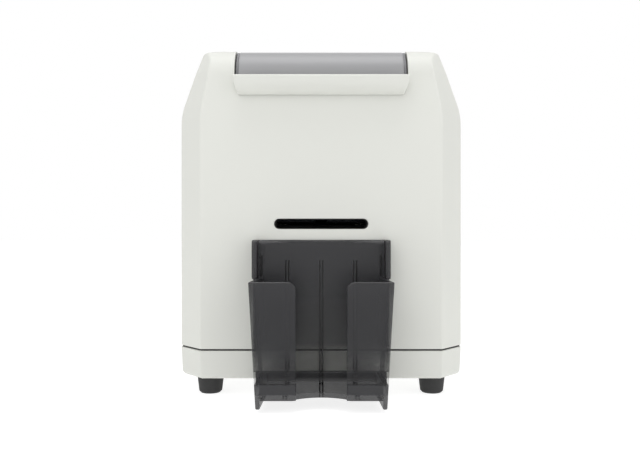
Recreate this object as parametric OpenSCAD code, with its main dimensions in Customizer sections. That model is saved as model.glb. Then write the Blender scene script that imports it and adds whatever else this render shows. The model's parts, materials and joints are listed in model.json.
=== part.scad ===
// Desktop card printer with a lift-up top cover, a rear card hopper and a hanging output tray.
// Every module works in a frame whose y is 0 at the front face and grows towards the back.
// placed() then moves the whole printer so that the middle of its footprint is at the origin.

/* [Casing] */
// Width over the side walls
body_w = 180; // [176:1:200]
// Depth from the front face to the back face
body_d = 320; // [316:1:345]
// Height of the flat top above the table
top_z = 218; // [216:1:230]
// Height of the underside of the base above the table
base_z = 11; // [8:0.5:14]
// Height of the joint line between base and casing
seam_z = 28.5; // [26:0.5:34]
// Height of the joint gap
seam_gap = 1; // [0.6:0.1:1.6]
// Wall thickness of the casing and the base
wall = 2.5; // [2:0.1:3]
// Width of the corner chamfer, across the front
chamfer_x = 14.6; // [10:0.2:17]
// Depth of the corner chamfer, along the side
chamfer_y = 17; // [12:0.5:22]
// Height of the upper part of the side walls, which leans inwards
lean_h = 40.4; // [38:0.2:48]
// Lean of the upper side walls from vertical, in degrees
lean = 22.2; // [18:0.1:24]
// Fall of the shoulders from horizontal, in degrees
shoulder_fall = 6.4; // [4:0.2:9]
// Radius between the front face and the top
front_top_r = 18; // [14:0.5:22]

/* [Lid] */
// Half the width of the recess that the lid lies in
bay_half = 54; // [52:0.2:56]
// Gap between the lid and the recess on each side
lid_gap = 0.6; // [0.4:0.1:1]
// Thickness of the lid panel
lid_t = 2.4; // [2:0.1:3]
// Width of the low step along each side of the lid panel
lid_step_w = 2; // [1.2:0.2:3]
// Drop of that step
lid_step = 1.2; // [0.8:0.1:1.6]
// Radius of the hinge barrel
barrel_r = 3.6; // [3.2:0.1:4]
// Radius of the hinge pins
pin_r = 1.6; // [1.3:0.1:1.9]
// How far the handle lip stands out of the front face
lip_out = 12.5; // [10:0.5:14]
// Height of the handle lip
lip_h = 10.6; // [9:0.2:12]

/* [Card path] */
// Height of the card slot's middle above the table
card_z = 107.3; // [105:0.1:109]
// Width of the card slot
slot_w = 58.5; // [57:0.5:62]
// Height of the card slot
slot_h = 6.4; // [5:0.2:7]
// Free height between each pair of rollers
nip = 0.8; // [0.6:0.1:1.2]
// Radius of the driven card rollers
roller_r = 6; // [5.6:0.1:6.2]
// Radius of the pinch rollers
pinch_r = 5; // [4.6:0.1:5.2]
// Radius of the platen roller
platen_r = 8; // [7.6:0.1:8.4]
// Radius of the card pick roller
pick_r = 12; // [10:0.5:12.5]
// Radius of the cleaning roller
clean_r = 8; // [7:0.2:8.5]
// Half the length of the rubber on the rollers
rubber_half = 29; // [27:0.5:30]
// Radius of the roller shafts
shaft_r = 3; // [2.6:0.1:3.2]
// Half the distance between the inner faces of the side plates
plate_in = 44; // [43.5:0.1:44.6]
// Thickness of the steel side plates
plate_t = 1.5; // [1.2:0.1:2]

/* [Ribbon] */
// Radius of the full supply roll
supply_r = 20; // [16:0.5:21]
// Radius of the part-wound take-up roll
takeup_r = 13; // [11.5:0.5:14]
// Radius of the ribbon cores
core_r = 10; // [9:0.2:10.5]
// Half the width of the ribbon
ribbon_half = 29; // [27:0.5:30]
// Radius of the ribbon guide rods
rod_r = 2; // [1.6:0.1:2.4]
// Teeth on the take-up gear
gear_teeth = 36; // [32:1:40]
// Teeth on the ribbon motor's pinion
pinion_teeth = 12; // [11:1:14]
// Gear module
gear_m = 1; // [0.9:0.05:1.05]

/* [Tray] */
// How far the output tray stands out of the front face
tray_out = 42; // [38:0.5:46]
// Height of the tray's back above the table
tray_top = 97.4; // [96:0.2:98]
// Height of the tray's front flaps above the table
flap_top = 74.2; // [66:0.2:76]
// Height of the tray floor's top above the table
tray_floor = 10.1; // [9:0.1:12]
// Height of the side walls' lower edge above the table
tray_low = 2.4; // [1:0.2:4]
// Wall thickness of the tray
tray_t = 2.6; // [2.2:0.1:3]
// Half the width of the tray over its ears
tray_half = 42; // [41:0.2:43]
// Half the width of the gap between the front flaps
flap_gap = 14.4; // [12:0.2:18]
// How far the tray lifts before its hooks are free
tray_lift = 5.8; // [5.6:0.1:6.2]

/* [Feet] */
// Radius of the rubber feet at the top
foot_r = 8.5; // [7:0.1:9]
// Distance of each foot's middle from the front or back face
foot_in = 15; // [13:0.5:20]
// Distance of each foot's middle from the side face
foot_side = 19.3; // [19:0.1:24]

/* [Hopper] */
// Inner width of the card hopper
hopper_w = 55.2; // [54.6:0.1:56]
// Gap between the hopper's walls and the deck above them
hopper_gap = 10.2; // [8:0.2:16]
// Thickness of the rear hopper door
door_t = 2.2; // [1.8:0.1:2.6]
// Radius of the door's hinge barrel
door_barrel_r = 2.6; // [2.4:0.1:3]
// How far below the top of the hopper's walls the card weight is stopped
weight_stop = 10; // [6:0.5:20]

/* [Hidden] */
$fn = 48;

// Colours, as the photograph shows them or as such parts are usually made
shell_white = "#E4E5DF";
lid_grey = "#B9B9BB";
smoke = "#464646";
rubber_black = "#2B2B2B";
deck_grey = "#3A3B3D";
steel = "#B4B8BC";
board_green = "#1F5A3A";
ribbon_black = "#15151A";

// Clearances
touch = 0.05; // between pieces of one body that are fastened together
run = 0.06; // radial, of a shaft in its bush
seat = 0.3; // between pieces that move past each other

// The back edge of the hopper door's hinge barrel is the rearmost point
door_axis_y = body_d + seat + door_barrel_r;
rear_out = seat + 2 * door_barrel_r;
y_mid = (body_d + rear_out - tray_out) / 2;

// Outline of the casing
half_w = body_w / 2;
foot_x = half_w - foot_side;
bay_z = top_z - 24; // floor of the lid recess
back_top_r = 10; // radius between the back face and the top
blend_r = 30; // where the side wall starts to lean
corner_r = 3.5; // at the outer edge of the shoulder
chamfer_left = 0.67; // share of the chamfer that is left at the shoulder
chamfer_run = 25; // height over which it narrows
flat_half = bay_half + 0.8; // the top is flat this far out
lean_z = top_z - lean_h;
lean_tan = tan(lean);
blend_z = lean_z - blend_r * tan(lean / 2);
// The shoulder's outer corner is where the leaning side meets the falling shoulder
corner_x = (half_w + (lean_z - top_z) * lean_tan - flat_half * tan(shoulder_fall) * lean_tan)
    / (1 - tan(shoulder_fall) * lean_tan);
corner_z = top_z - (corner_x - flat_half) * tan(shoulder_fall);
fall_norm = 90 - shoulder_fall;
corner_k = corner_r / (1 + cos(fall_norm - lean));
corner_cx = corner_x - corner_k * (cos(lean) + cos(fall_norm));
corner_cz = corner_z - corner_k * (sin(lean) + sin(fall_norm));

// Lid and its hinge
lid_half = bay_half - lid_gap;
lid_top = top_z - 0.6;
lid_front = 0.6;
lid_r = front_top_r - 0.6;
lid_low = top_z - 19.8; // lower edge of the lid panel's curved front
hinge_y = body_d - 20;
hinge_skin = 1; // panel left over the barrel
hinge_z = lid_top - hinge_skin - barrel_r;
barrel_half = bay_half - 1.5;
lid_tail = 5; // how far the panel reaches past the hinge's axis
bay_end = hinge_y + norm([lid_tail, lid_top - hinge_z]) + 0.5;
lip_top = lid_low - touch;
under_lid = lid_top - lid_t;
frame_t = 2.4;
frame_half = 48;
catch_x = frame_half - 5; // magnets and strikers of the lid's catch
catch_y = 14;
catch_r = 3.6;
striker_z = bay_z + 1.5;
striker_t = 1.2;
lip_t = 2.2;
lip_r = 15; // of the lip's curved outside
lip_gap = seat + 0.1; // between the lip and the front face

// Card path
roller_z = card_z - nip / 2 - roller_r;
pinch_z = card_z + nip / 2 + pinch_r;
platen_z = card_z - nip / 2 - platen_r;
pick_z = card_z - nip / 2 - pick_r;
clean_z = card_z + nip / 2 + clean_r;
exit_y = 30;
middle_y = 84;
platen_y = 125;
entry_y = 166;
clean_y = 196;
pick_y = 246;
bush_r = shaft_r + 2;
plate_out = plate_in + plate_t;
plate_low = 56;
plate_high = bay_z - 1.4;
plate_y0 = 12;
plate_y1 = body_d - 28;
motor_y = (exit_y + entry_y) / 2;
motor_z = 70;
belt_t = 1.3;
belt_x0 = -plate_out - 8.5;
belt_x1 = -plate_out - 3;
belt_lean = atan2(roller_z - motor_z, entry_y - motor_y);
driven_shafts = [[exit_y, roller_z], [middle_y, roller_z], [platen_y, platen_z], [entry_y, roller_z],
    [pick_y, pick_z]];
pinch_shafts = [[exit_y, pinch_z], [middle_y, pinch_z], [entry_y, pinch_z], [clean_y, clean_z]];
// Windows that lighten the side plates: front, back, low, high and corner radius
plate_windows = [[exit_y + 4, exit_y + 30, plate_low + 10, plate_low + 34, 4],
    [entry_y + 14, entry_y + 60, plate_low + 10, plate_low + 38, 5],
    [pick_y + 22, plate_y1 - 10, plate_low + 14, plate_low + 36, 4],
    [clean_y + 8, plate_y1 - 14, card_z + 24.7, plate_high - 16.6, 6],
    [exit_y - 6, exit_y + 28, card_z + 14.7, plate_high - 20.6, 6]];

// Ribbon
spool_z = card_z + 34.7;
takeup_y = 80;
supply_y = 170;
film_low = card_z + 1.0; // underside of the film between the rods
film_t = 0.3;
rod_z = film_low + film_t + 0.1 + rod_r;
rod_front_y = platen_y - 19;
rod_back_y = platen_y + 21;
journal_r = 6;
rail_x0 = 36;
rail_x1 = 38.5;
core_half = 41.5;
gear_x0 = -plate_out - 6.5;
gear_x1 = -plate_out - 2;
gear_r = gear_m * gear_teeth / 2;
pinion_r = gear_m * pinion_teeth / 2;
mesh_angle = 0; // direction of the pinion, seen from the gear
pinion_y = takeup_y + (gear_r + pinion_r) * cos(mesh_angle);
pinion_z = spool_z + (gear_r + pinion_r) * sin(mesh_angle);

// Print head, hung from the lid on two guide pins
head_half = 33;
press = 1.5; // travel of the print head
head_y = platen_y + 2; // middle of the head's bracket
sink_half = 10;
sink_base = 6;
sink_h = 24;
head_z = film_low + film_t + 0.1 + press + 1;
sink_z = head_z + 5;
yoke_z = head_z + 56;
yoke_t = 2;
yoke_half = head_half + 1.6;
guide_x = 22;
guide_r = 3;
tube_low = yoke_z + 20;
wire_r = 0.5; // of the two head springs

// Card hopper
chute_y0 = 219;
chute_y1 = body_d - wall - 1;
chute_t = 2;
chute_half = hopper_w / 2;
chute_floor = card_z - nip / 2 - 0.5;
deck_z = bay_z - 1.4 + touch; // underside of the inner deck
hopper_h = deck_z - hopper_gap - chute_floor;
weight_z = card_z - nip / 2 + seat;
weight_t = 5;
weight_lift = chute_floor + hopper_h - weight_stop - weight_z - weight_t;
door_pin_r = 1.1;
door_low = card_z - 10;
door_high = chute_floor + hopper_h + 7;
door_half = chute_half + 12;
door_axis_z = door_low - door_barrel_r;

// Boards and ports at the back
board_z = base_z + 29;
board_half = 38;
board_y0 = body_d - 110;
board_y1 = body_d - wall - 3;
board_t = 1.6;
port_z = board_z + board_t + touch;
port_gap = 0.5; // between a port and its window
dc_port = [-30, 9.6, 11]; // middle, width and height of each port
usb = [0, 12, 11];
lan = [26, 16, 13.4];
rear_side = 33; // distance of the fan and the switch from the side face
fan_x = half_w - rear_side;
fan_z = 78;
fan_half = 15;
fan_t = 10;
grille_pitch = 3.6;
switch_x = rear_side - half_w;
switch_z = 48;
switch_hx = 6.4; // half the width and height of the switch's body
switch_hz = 9.4;
switch_wall = 1.6;
rocker_y = body_d - 3.4;
vent_count = 11; // cooling slots in each side
vent_pitch = 6;
vent_w = 2.6;
vent_low = seam_z + 17.5;
vent_h = 32;

// Buttons on the right shoulder, midway between the recess's wall and the leaning side
shoulder_x0 = bay_half + wall;
shoulder_x1 = half_w - (top_z - 9 - lean_z) * lean_tan - wall / cos(lean);
button_x = (shoulder_x0 + shoulder_x1) / 2;
button_r = 0.2335 * (shoulder_x1 - shoulder_x0);
button_rim = 1; // of the flange that keeps a button in its hole
button_ys = [42, 60];
light_ys = [24, 28, 32];
pipe_r = 1.2; // of the lights' clear pipes
button_travel = 0.7;
button_top = top_z - (button_x - flat_half) * tan(shoulder_fall) + 0.5;
flange_t = 1.2;
flange_z = button_top - 0.5 - wall / cos(shoulder_fall) - (button_r + button_rim) * tan(shoulder_fall) - seat
    - flange_t;
panel_z = flange_z - button_travel - 3; // top of the control board

// Output tray
tray_gap = 0.4; // between its back and the front face
tray_foot_z = 16; // top of the back plate's thicker foot
ear_t = 3.2;
ear_out = 12.4;
rib_xs = [-20.9, 0, 20.9];
rib_half = 0.8;
wall_lean = 0.038; // how far a tray side wall leans in for each mm down
wall_splay = 2.9;
flap_r = 5;
notch_r = 23;
notch_d = 9.7; // depth of the finger notch
hook_x = 36.7;
hook_half = 1.5;
hook_z = tray_top - 17.4;
hook_h = 7.8;
hook_drop = 5.4; // how far a hook's tip hangs behind the casing's wall

// Chassis posts and screws
post_x = plate_out + 8;
post_ys = [30, 150, body_d - 42];
screw_r = 1.5;
thread = 0.1; // radius by which a hole that takes a thread is smaller than the screw
pass = 0.2; // radius by which a screw's through hole is larger
post_r = 4.5;
boss_r = 4;
boss_x = half_w - wall - 6;
boss_ys = [36, body_d - 36];
boss_low = seam_z + seam_gap + 4; // underside of the casing's bosses
boss_len = 16;

function arc(cx, cy, r, a0, a1, n) = [for (i = [0:n]) let (a = a0 + (a1 - a0) * i / n)
    [cx + r * cos(a), cy + r * sin(a)]];

function round_box(x0, x1, y0, y1, r, n = 5) = concat(arc(x1 - r, y1 - r, r, 0, 90, n),
    arc(x0 + r, y1 - r, r, 90, 180, n), arc(x0 + r, y0 + r, r, 180, 270, n),
    arc(x1 - r, y0 + r, r, 270, 360, n));

// Plan of the casing at one height: a rectangle with its corners cut off
function plan(hw, cx, cy, inset) = [[hw - cx, inset], [hw, inset + cy], [hw, body_d - inset - cy],
    [hw - cx, body_d - inset], [cx - hw, body_d - inset], [-hw, body_d - inset - cy], [-hw, inset + cy],
    [cx - hw, inset]];

// Share of the full chamfer that is left at height z: the cut narrows above the lean
function chamfer_share(z) = 1 - (1 - chamfer_left) * min(1, max(0, z - lean_z) / chamfer_run);

// Half widths and heights of the casing's side, from the start of the lean to the flat top
function side_line(inset) = concat(
    [for (i = [0:4]) let (a = lean * i / 4)
        [half_w - blend_r + (blend_r - inset) * cos(a), blend_z + (blend_r - inset) * sin(a)]],
    [[half_w - chamfer_run * lean_tan - inset / cos(lean), lean_z + chamfer_run]],
    [for (i = [0:4]) let (a = lean + (fall_norm - lean) * i / 4)
        [corner_cx + (corner_r - inset) * cos(a), corner_cz + (corner_r - inset) * sin(a)]],
    [[flat_half - inset * tan(shoulder_fall / 2), top_z - inset]]);

// Moves a piece from the working frame to the frame of the finished part
module placed() {
    translate([0, -y_mid, 0])
        children();
}

module both_sides() {
    children();
    mirror([1, 0, 0])
        children();
}

module box(x0, x1, y0, y1, z0, z1) {
    translate([x0, y0, z0])
        cube([x1 - x0, y1 - y0, z1 - z0]);
}

// A round bar along x
module bar_x(r, x0, x1, y, z) {
    translate([x0, y, z])
        rotate([0, 90, 0])
            cylinder(h = x1 - x0, r = r);
}

// A tube along x
module tube_x(r, bore, x0, x1, y, z) {
    difference() {
        bar_x(r, x0, x1, y, z);
        bar_x(bore, x0 - 1, x1 + 1, y, z);
    }
}

// A round bar along y
module bar_y(r, y0, y1, x, z) {
    translate([x, y0, z])
        rotate([-90, 0, 0])
            cylinder(h = y1 - y0, r = r);
}

// Extrudes an outline drawn in (y, z) along x
module across(x0, x1) {
    translate([x0, 0, 0])
        rotate([90, 0, 90])
            linear_extrude(x1 - x0)
                children();
}

// Extrudes an outline drawn in (x, z) along y
module along(y0, y1) {
    translate([0, y1, 0])
        rotate([90, 0, 0])
            linear_extrude(y1 - y0)
                children();
}

// Solid block of the casing above z0, taken in by inset on every side
module casing_block(z0, inset) {
    line = side_line(inset);
    slab = 0.01;
    intersection() {
        hull() {
            translate([0, 0, z0])
                linear_extrude(slab)
                    polygon(plan(half_w - inset, chamfer_x, chamfer_y, inset));
            for (p = line)
                let (s = chamfer_share(p[1]))
                    translate([0, 0, p[1] - slab])
                        linear_extrude(slab)
                            polygon(plan(p[0], chamfer_x * s, chamfer_y * s, inset));
        }
        across(-half_w - 1, half_w + 1)
            polygon(concat([[inset, z0 - 1], [body_d - inset, z0 - 1]],
                arc(body_d - back_top_r, top_z - back_top_r, back_top_r - inset, 0, 90, 8),
                arc(front_top_r, top_z - front_top_r, front_top_r - inset, 90, 180, 16)));
    }
}

// The room that the lid's recess takes out of the casing
module bay_room(grow) {
    box(-bay_half - grow, bay_half + grow, grow > 0 ? wall / 2 : -1, bay_end + grow, bay_z - grow,
        top_z + 1);
}

module upper_casing() {
    color(shell_white) placed() {
        difference() {
            union() {
                difference() {
                    casing_block(seam_z + seam_gap, 0);
                    casing_block(seam_z + seam_gap - 1, wall);
                }
                intersection() {
                    casing_block(seam_z + seam_gap, 0.1);
                    difference() {
                        bay_room(wall);
                        box(-bay_half, bay_half, -2, bay_end, 0, top_z + 2);
                    }
                }
            }
            bay_room(0);
            casing_openings();
        }
        casing_bosses();
    }
}

module casing_openings() {
    // Card slot
    along(-1, wall + 1)
        polygon(round_box(-slot_w / 2, slot_w / 2, card_z - slot_h / 2, card_z + slot_h / 2,
            slot_h / 2 - 0.01, 8));
    // Slots for the tray's hooks
    both_sides()
        box(hook_x - hook_half - seat, hook_x + hook_half + seat, -1, wall + 1, hook_z - seat,
            hook_z + hook_h + tray_lift + 0.5);
    // Hinge pins of the lid
    both_sides()
        bar_x(pin_r + 0.02, bay_half - 1, bay_half + wall + 1, hinge_y, hinge_z);
    // Opening of the card hopper, closed by the door
    box(-door_half + 3, door_half - 3, body_d - wall - 1, body_d + 1, door_low + 3, door_high - 3);
    // Windows for the ports, the switch and the fan
    for (p = [dc_port, usb, lan])
        box(p[0] - p[1] / 2 - port_gap, p[0] + p[1] / 2 + port_gap, body_d - wall - 1, body_d + 1,
            port_z - port_gap,
            port_z + p[2] + port_gap);
    box(switch_x - switch_hx - seat, switch_x + switch_hx + seat, body_d - wall - 1, body_d + 1,
        switch_z - switch_hz - seat, switch_z + switch_hz + seat);
    for (i = [-3:3])
        let (z = fan_z + i * grille_pitch, w = sqrt(pow(fan_half - 2, 2) - pow(i * grille_pitch, 2)))
            along(body_d - wall - 1, body_d + 1)
                polygon(round_box(fan_x - w, fan_x + w, z - 1.1, z + 1.1, 1, 4));
    // Cooling slots low in both sides
    for (i = [0:vent_count - 1])
        let (y = board_y0 + i * vent_pitch)
            across(-half_w - 1, half_w + 1)
                polygon(round_box(y, y + vent_w, vent_low, vent_low + vent_h, vent_w / 2 - 0.01, 4));
    // Holes for the two buttons and the three status lights
    for (y = button_ys)
        translate([button_x, y, panel_z])
            cylinder(h = 20, r = button_r + seat);
    for (y = light_ys)
        translate([button_x, y, panel_z])
            cylinder(h = 20, r = pipe_r + touch);
}

// Screw bosses that reach down to the base, and the door's hinge ears
module casing_bosses() {
    for (y = boss_ys)
        both_sides()
            difference() {
                union() {
                    translate([boss_x, y, boss_low])
                        cylinder(h = boss_len, r = boss_r);
                    box(boss_x, half_w - wall + 0.1, y - 1, y + 1, boss_low + 2, boss_low + boss_len);
                }
                translate([boss_x, y, boss_low - 1])
                    cylinder(h = boss_len - 3, r = screw_r - thread);
            }
    both_sides()
        difference() {
            union() {
                tube_x(door_barrel_r, door_pin_r + 0.02, door_half - 9.6, door_half - 5.6, door_axis_y,
                    door_axis_z);
                box(door_half - 9.6, door_half - 5.6, body_d - 0.1, door_axis_y,
                    door_axis_z - door_barrel_r,
                    door_axis_z);
            }
            bar_x(door_pin_r + 0.02, door_half - 10, door_half - 5, door_axis_y, door_axis_z);
        }
}

module base_pan() {
    color(shell_white) placed() {
        difference() {
            hull()
                for (p = [[2.2, base_z], [0.9, base_z + 2], [0, seam_z - 0.1]])
                    translate([0, 0, p[1]])
                        linear_extrude(0.1)
                            polygon(plan(half_w - p[0], chamfer_x, chamfer_y, p[0] / 2));
            translate([0, 0, base_z + wall])
                linear_extrude(seam_z)
                    polygon(plan(half_w - wall - 0.6, chamfer_x, chamfer_y, wall + 0.6));
            both_sides()
                for (y = [foot_in, body_d - foot_in])
                    translate([foot_x, y, base_z - 1])
                        cylinder(h = wall + 2, r = screw_r - thread);
            both_sides()
                for (y = boss_ys)
                    translate([boss_x, y, base_z - 1])
                        cylinder(h = wall + 2, r = screw_r + pass);
            // Air slots in the floor
            for (y = [exit_y + 30:12:entry_y - 10])
                box(10 - plate_in, plate_in - 10, y, y + 3, base_z - 1, base_z + wall + 1);
        }
        base_tongue();
        base_posts();
    }
}

// The rim that stands up inside the casing and closes the joint
module base_tongue() {
    difference() {
        translate([0, 0, base_z + 1])
            linear_extrude(seam_z + seam_gap + 3.5 - base_z - 1)
                polygon(plan(half_w - wall - 0.5, chamfer_x, chamfer_y, wall + 0.5));
        translate([0, 0, base_z])
            linear_extrude(seam_z)
                polygon(plan(half_w - wall - 2.1, chamfer_x, chamfer_y, wall + 2.1));
    }
}

module base_posts() {
    both_sides() {
        for (y = post_ys)
            difference() {
                translate([post_x, y, base_z + 1])
                    cylinder(h = plate_low - base_z - 1 - touch, r = post_r);
                translate([post_x, y, plate_low - 14])
                    cylinder(h = 20, r = screw_r - thread);
            }
        for (y = boss_ys)
            difference() {
                translate([boss_x, y, base_z + 1])
                    cylinder(h = boss_low - touch - base_z - 1, r = boss_r);
                translate([boss_x, y, base_z])
                    cylinder(h = boss_low, r = screw_r + pass);
            }
    }
    for (x = [-board_half + 5, board_half - 5])
        for (y = [board_y0 + 5, board_y1 - 26])
            translate([x, y, base_z + 1])
                cylinder(h = board_z - base_z - 1 - touch, r = 3);
}

// Black strip that lies in the joint, a little back from the outside
module seam_gasket() {
    color(rubber_black) placed()
        translate([0, 0, seam_z + touch])
            difference() {
                linear_extrude(seam_gap - 2 * touch)
                    polygon(plan(half_w - 0.9, chamfer_x, chamfer_y, 0.9));
                translate([0, 0, -1])
                    linear_extrude(seam_gap + 2)
                        polygon(plan(half_w - wall - 0.3, chamfer_x, chamfer_y, wall + 0.3));
            }
}

module rubber_feet() {
    color(rubber_black) placed()
        both_sides()
            for (y = [foot_in, body_d - foot_in])
                translate([foot_x, y, 0])
                    difference() {
                        union() {
                            cylinder(h = 1.2, r1 = foot_r - 2, r2 = foot_r - 1.15);
                            translate([0, 0, 1.2])
                                cylinder(h = base_z - 1.2 - touch, r1 = foot_r - 1.15, r2 = foot_r);
                        }
                        translate([0, 0, -1])
                            cylinder(h = 5, r = 3.2);
                        cylinder(h = base_z + 1, r = screw_r + pass);
                    }
}

// A pan-head screw standing on its head's seat at z 0, thread downwards
module screw(len, head_r = 2.8) {
    difference() {
        translate([0, 0, touch])
            cylinder(h = 1.8, r = head_r);
        translate([0, 0, 0.9])
            cylinder(h = 2, r = 1.2, $fn = 6);
    }
    translate([0, 0, -len])
        cylinder(h = len + 0.5, r = screw_r - 0.15);
}

module case_screws() {
    color(steel) placed()
        both_sides() {
            for (y = [foot_in, body_d - foot_in])
                translate([foot_x, y, 4])
                    mirror([0, 0, 1])
                        screw(base_z + wall - 4);
            for (y = boss_ys)
                translate([boss_x, y, base_z])
                    mirror([0, 0, 1])
                        screw(seam_z + 10 - base_z);
            for (y = post_ys)
                translate([post_x, y, plate_low + plate_t])
                    screw(10);
        }
}

// One side plate of the chassis, on the +x side
module chassis_plate(spindle) {
    difference() {
        union() {
            across(plate_in, plate_out)
                difference() {
                    polygon([[plate_y0 + 14, plate_low], [plate_y1, plate_low], [plate_y1, plate_high],
                        [plate_y0 + 10, plate_high], [plate_y0, plate_high - 14],
                            [plate_y0, plate_low + 22]]);
                    for (w = plate_windows)
                        polygon(round_box(w[0], w[1], w[2], w[3], w[4]));
                }
            // Foot that is screwed to the base posts
            difference() {
                box(plate_in, post_x + 6, plate_y0 + 14, plate_y1, plate_low, plate_low + plate_t);
                for (y = post_ys)
                    translate([post_x, y, plate_low - 1])
                        cylinder(h = plate_t + 2, r = screw_r + thread);
                // The foot is cut away between the posts
                for (i = [0, 1])
                    box(plate_out + 2, post_x + 7, post_ys[i] + 17, post_ys[i + 1] - 17, plate_low - 1,
                        plate_low + plate_t + 1);
            }
        }
        for (p = driven_shafts)
            bar_x(bush_r + touch, plate_in - 1, plate_out + 1, p[0], p[1]);
        for (p = pinch_shafts)
            bar_x(bush_r - 1 + touch, plate_in - 1, plate_out + 1, p[0], p[1]);
        for (y = spindle)
            bar_x(journal_r - 2 + run, plate_in - 1, plate_out + 1, y, spool_z);
    }
}

module chassis_left() {
    color(steel) placed()
        mirror([1, 0, 0])
            difference() {
                chassis_plate([takeup_y]);
                // Hole for the transport motor's boss
                bar_x(5.2, plate_in - 1, plate_out + 1, motor_y, motor_z);
            }
}

module chassis_right() {
    color(steel) placed()
        chassis_plate([]);
}

// Two channels that hold the side plates apart
module tie_bars() {
    color(steel) placed()
        for (y = [plate_y0 + 16, plate_y1 - 20])
            difference() {
                box(-plate_in + touch, plate_in - touch, y, y + 12, plate_low + 2, plate_low + 10);
                box(-plate_in + 2, plate_in - 2, y + plate_t, y + 12 - plate_t, plate_low + 2 + plate_t,
                    plate_low + 11);
            }
}

module bush(r, bore, y, z) {
    difference() {
        union() {
            bar_x(r, plate_in - 0.6, plate_out + 0.8, y, z);
            bar_x(r + 1, plate_in - 1.2, plate_in - touch, y, z);
        }
        bar_x(bore, plate_in - 3, plate_out + 3, y, z);
    }
}

module shaft_bushes() {
    color("#D8C58A") placed()
        both_sides() {
            for (p = driven_shafts)
                bush(bush_r, shaft_r + run, p[0], p[1]);
            for (p = pinch_shafts)
                bush(bush_r - 1, shaft_r - 0.8 + run, p[0], p[1]);
        }
}

// Black funnel that leads a card from the last rollers to the slot
module exit_chute() {
    y0 = wall + touch;
    y1 = exit_y - roller_r - 1.6;
    color(rubber_black) placed()
        difference() {
            union() {
                box(-slot_w / 2 - 1.6, slot_w / 2 + 1.6, y0, y1, card_z - slot_h / 2 - 1.6,
                    card_z + slot_h / 2 + 1.6);
                box(-slot_w / 2 - 5, slot_w / 2 + 5, y0, y0 + 1.6, card_z - slot_h / 2 - 4,
                    card_z + slot_h / 2 + 4);
                both_sides()
                    box(slot_w / 2, plate_in - touch, y1 - 6, y1 - 4, card_z - 3, card_z + 3);
            }
            along(0, y1 + 1)
                polygon(round_box(-slot_w / 2 + 0.6, slot_w / 2 - 0.6, card_z - slot_h / 2 + 0.4,
                    card_z + slot_h / 2 - 0.4, slot_h / 2 - 0.5, 6));
        }
}

// Lower guide plates between the rollers
module card_guides() {
    top = card_z - nip / 2 - 0.4;
    gap = 1.8;
    spans = [[exit_y + roller_r + gap, middle_y - roller_r - gap],
        [middle_y + roller_r + gap, platen_y - platen_r - gap],
        [platen_y + platen_r + gap, entry_y - roller_r - gap], [entry_y + roller_r + gap, chute_y0 - gap]];
    color(deck_grey) placed()
        for (s = spans)
            difference() {
                union() {
                    box(-plate_in + touch, plate_in - touch, s[0], s[1], top - 1.4, top);
                    for (x = [-28:8:28])
                        box(x - 0.5, x + 0.5, s[0] + 1, s[1] - 1, top - 4, top - 1);
                }
                // Notches over the card sensors
                box(-3, 3, s[0] - 1, s[0] + 4, top - 5, top + 1);
            }
}

// Gear outline with straight flanks and generous backlash
module gear_outline(teeth, pitch_r, turn) {
    tip = pitch_r + 0.75 * gear_m;
    root = pitch_r - 1.15 * gear_m;
    step = 360 / teeth;
    polygon([for (i = [0:teeth - 1])
        let (a = i * step + turn)
            each [[root * cos(a - 0.33 * step), root * sin(a - 0.33 * step)],
                [pitch_r * cos(a - 0.21 * step), pitch_r * sin(a - 0.21 * step)],
                [tip * cos(a - 0.11 * step), tip * sin(a - 0.11 * step)],
                [tip * cos(a + 0.11 * step), tip * sin(a + 0.11 * step)],
                [pitch_r * cos(a + 0.21 * step), pitch_r * sin(a + 0.21 * step)],
                [root * cos(a + 0.33 * step), root * sin(a + 0.33 * step)]]]);
}

module ribbon_cassette() {
    bar_y0 = takeup_y - takeup_r - 6;
    bar_y1 = supply_y + supply_r + 3;
    color("#4A4C50") placed() {
        both_sides()
            difference() {
                across(rail_x0, rail_x1)
                    polygon([[bar_y0, spool_z - 10], [rod_front_y - 4, rod_z - 3.5],
                        [rod_back_y + 4, rod_z - 3.5],
                        [supply_y, spool_z - 13], [bar_y1 + 2.4, spool_z - 8], [bar_y1 + 2.4, spool_z + 8],
                        [supply_y - 14, spool_z + 12], [rod_back_y, spool_z - 12],
                            [rod_front_y, spool_z - 12],
                        [takeup_y + 10, spool_z + 12], [bar_y0, spool_z + 10]]);
                bar_x(journal_r + seat, rail_x0 - 1, rail_x1 + 1, takeup_y, spool_z);
                bar_x(journal_r + seat, rail_x0 - 1, rail_x1 + 1, supply_y, spool_z);
            }
        box(-rail_x0 - 1, rail_x0 + 1, bar_y0, bar_y0 + 2.4, spool_z - 8, spool_z + 10);
        box(-rail_x0 - 1, rail_x0 + 1, bar_y1, bar_y1 + 2.4, spool_z - 8, spool_z + 8);
        for (y = [rod_front_y, rod_back_y])
            bar_x(rod_r, -rail_x0 - 1, rail_x0 + 1, y, rod_z);
        // Ears that stand on the side plates' inner faces
        both_sides()
            for (y = [bar_y0 + 1, bar_y1 - 4])
                box(rail_x1 - 0.5, plate_in - seat, y, y + 5, spool_z - 4, spool_z + 4);
    }
}

// Angle at which a line from point p touches the circle round c, on one side or the other
function touch_angle(c, r, p, side) = atan2(p[1] - c[1], p[0] - c[0]) + side * acos(r / norm(p - c));

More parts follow.
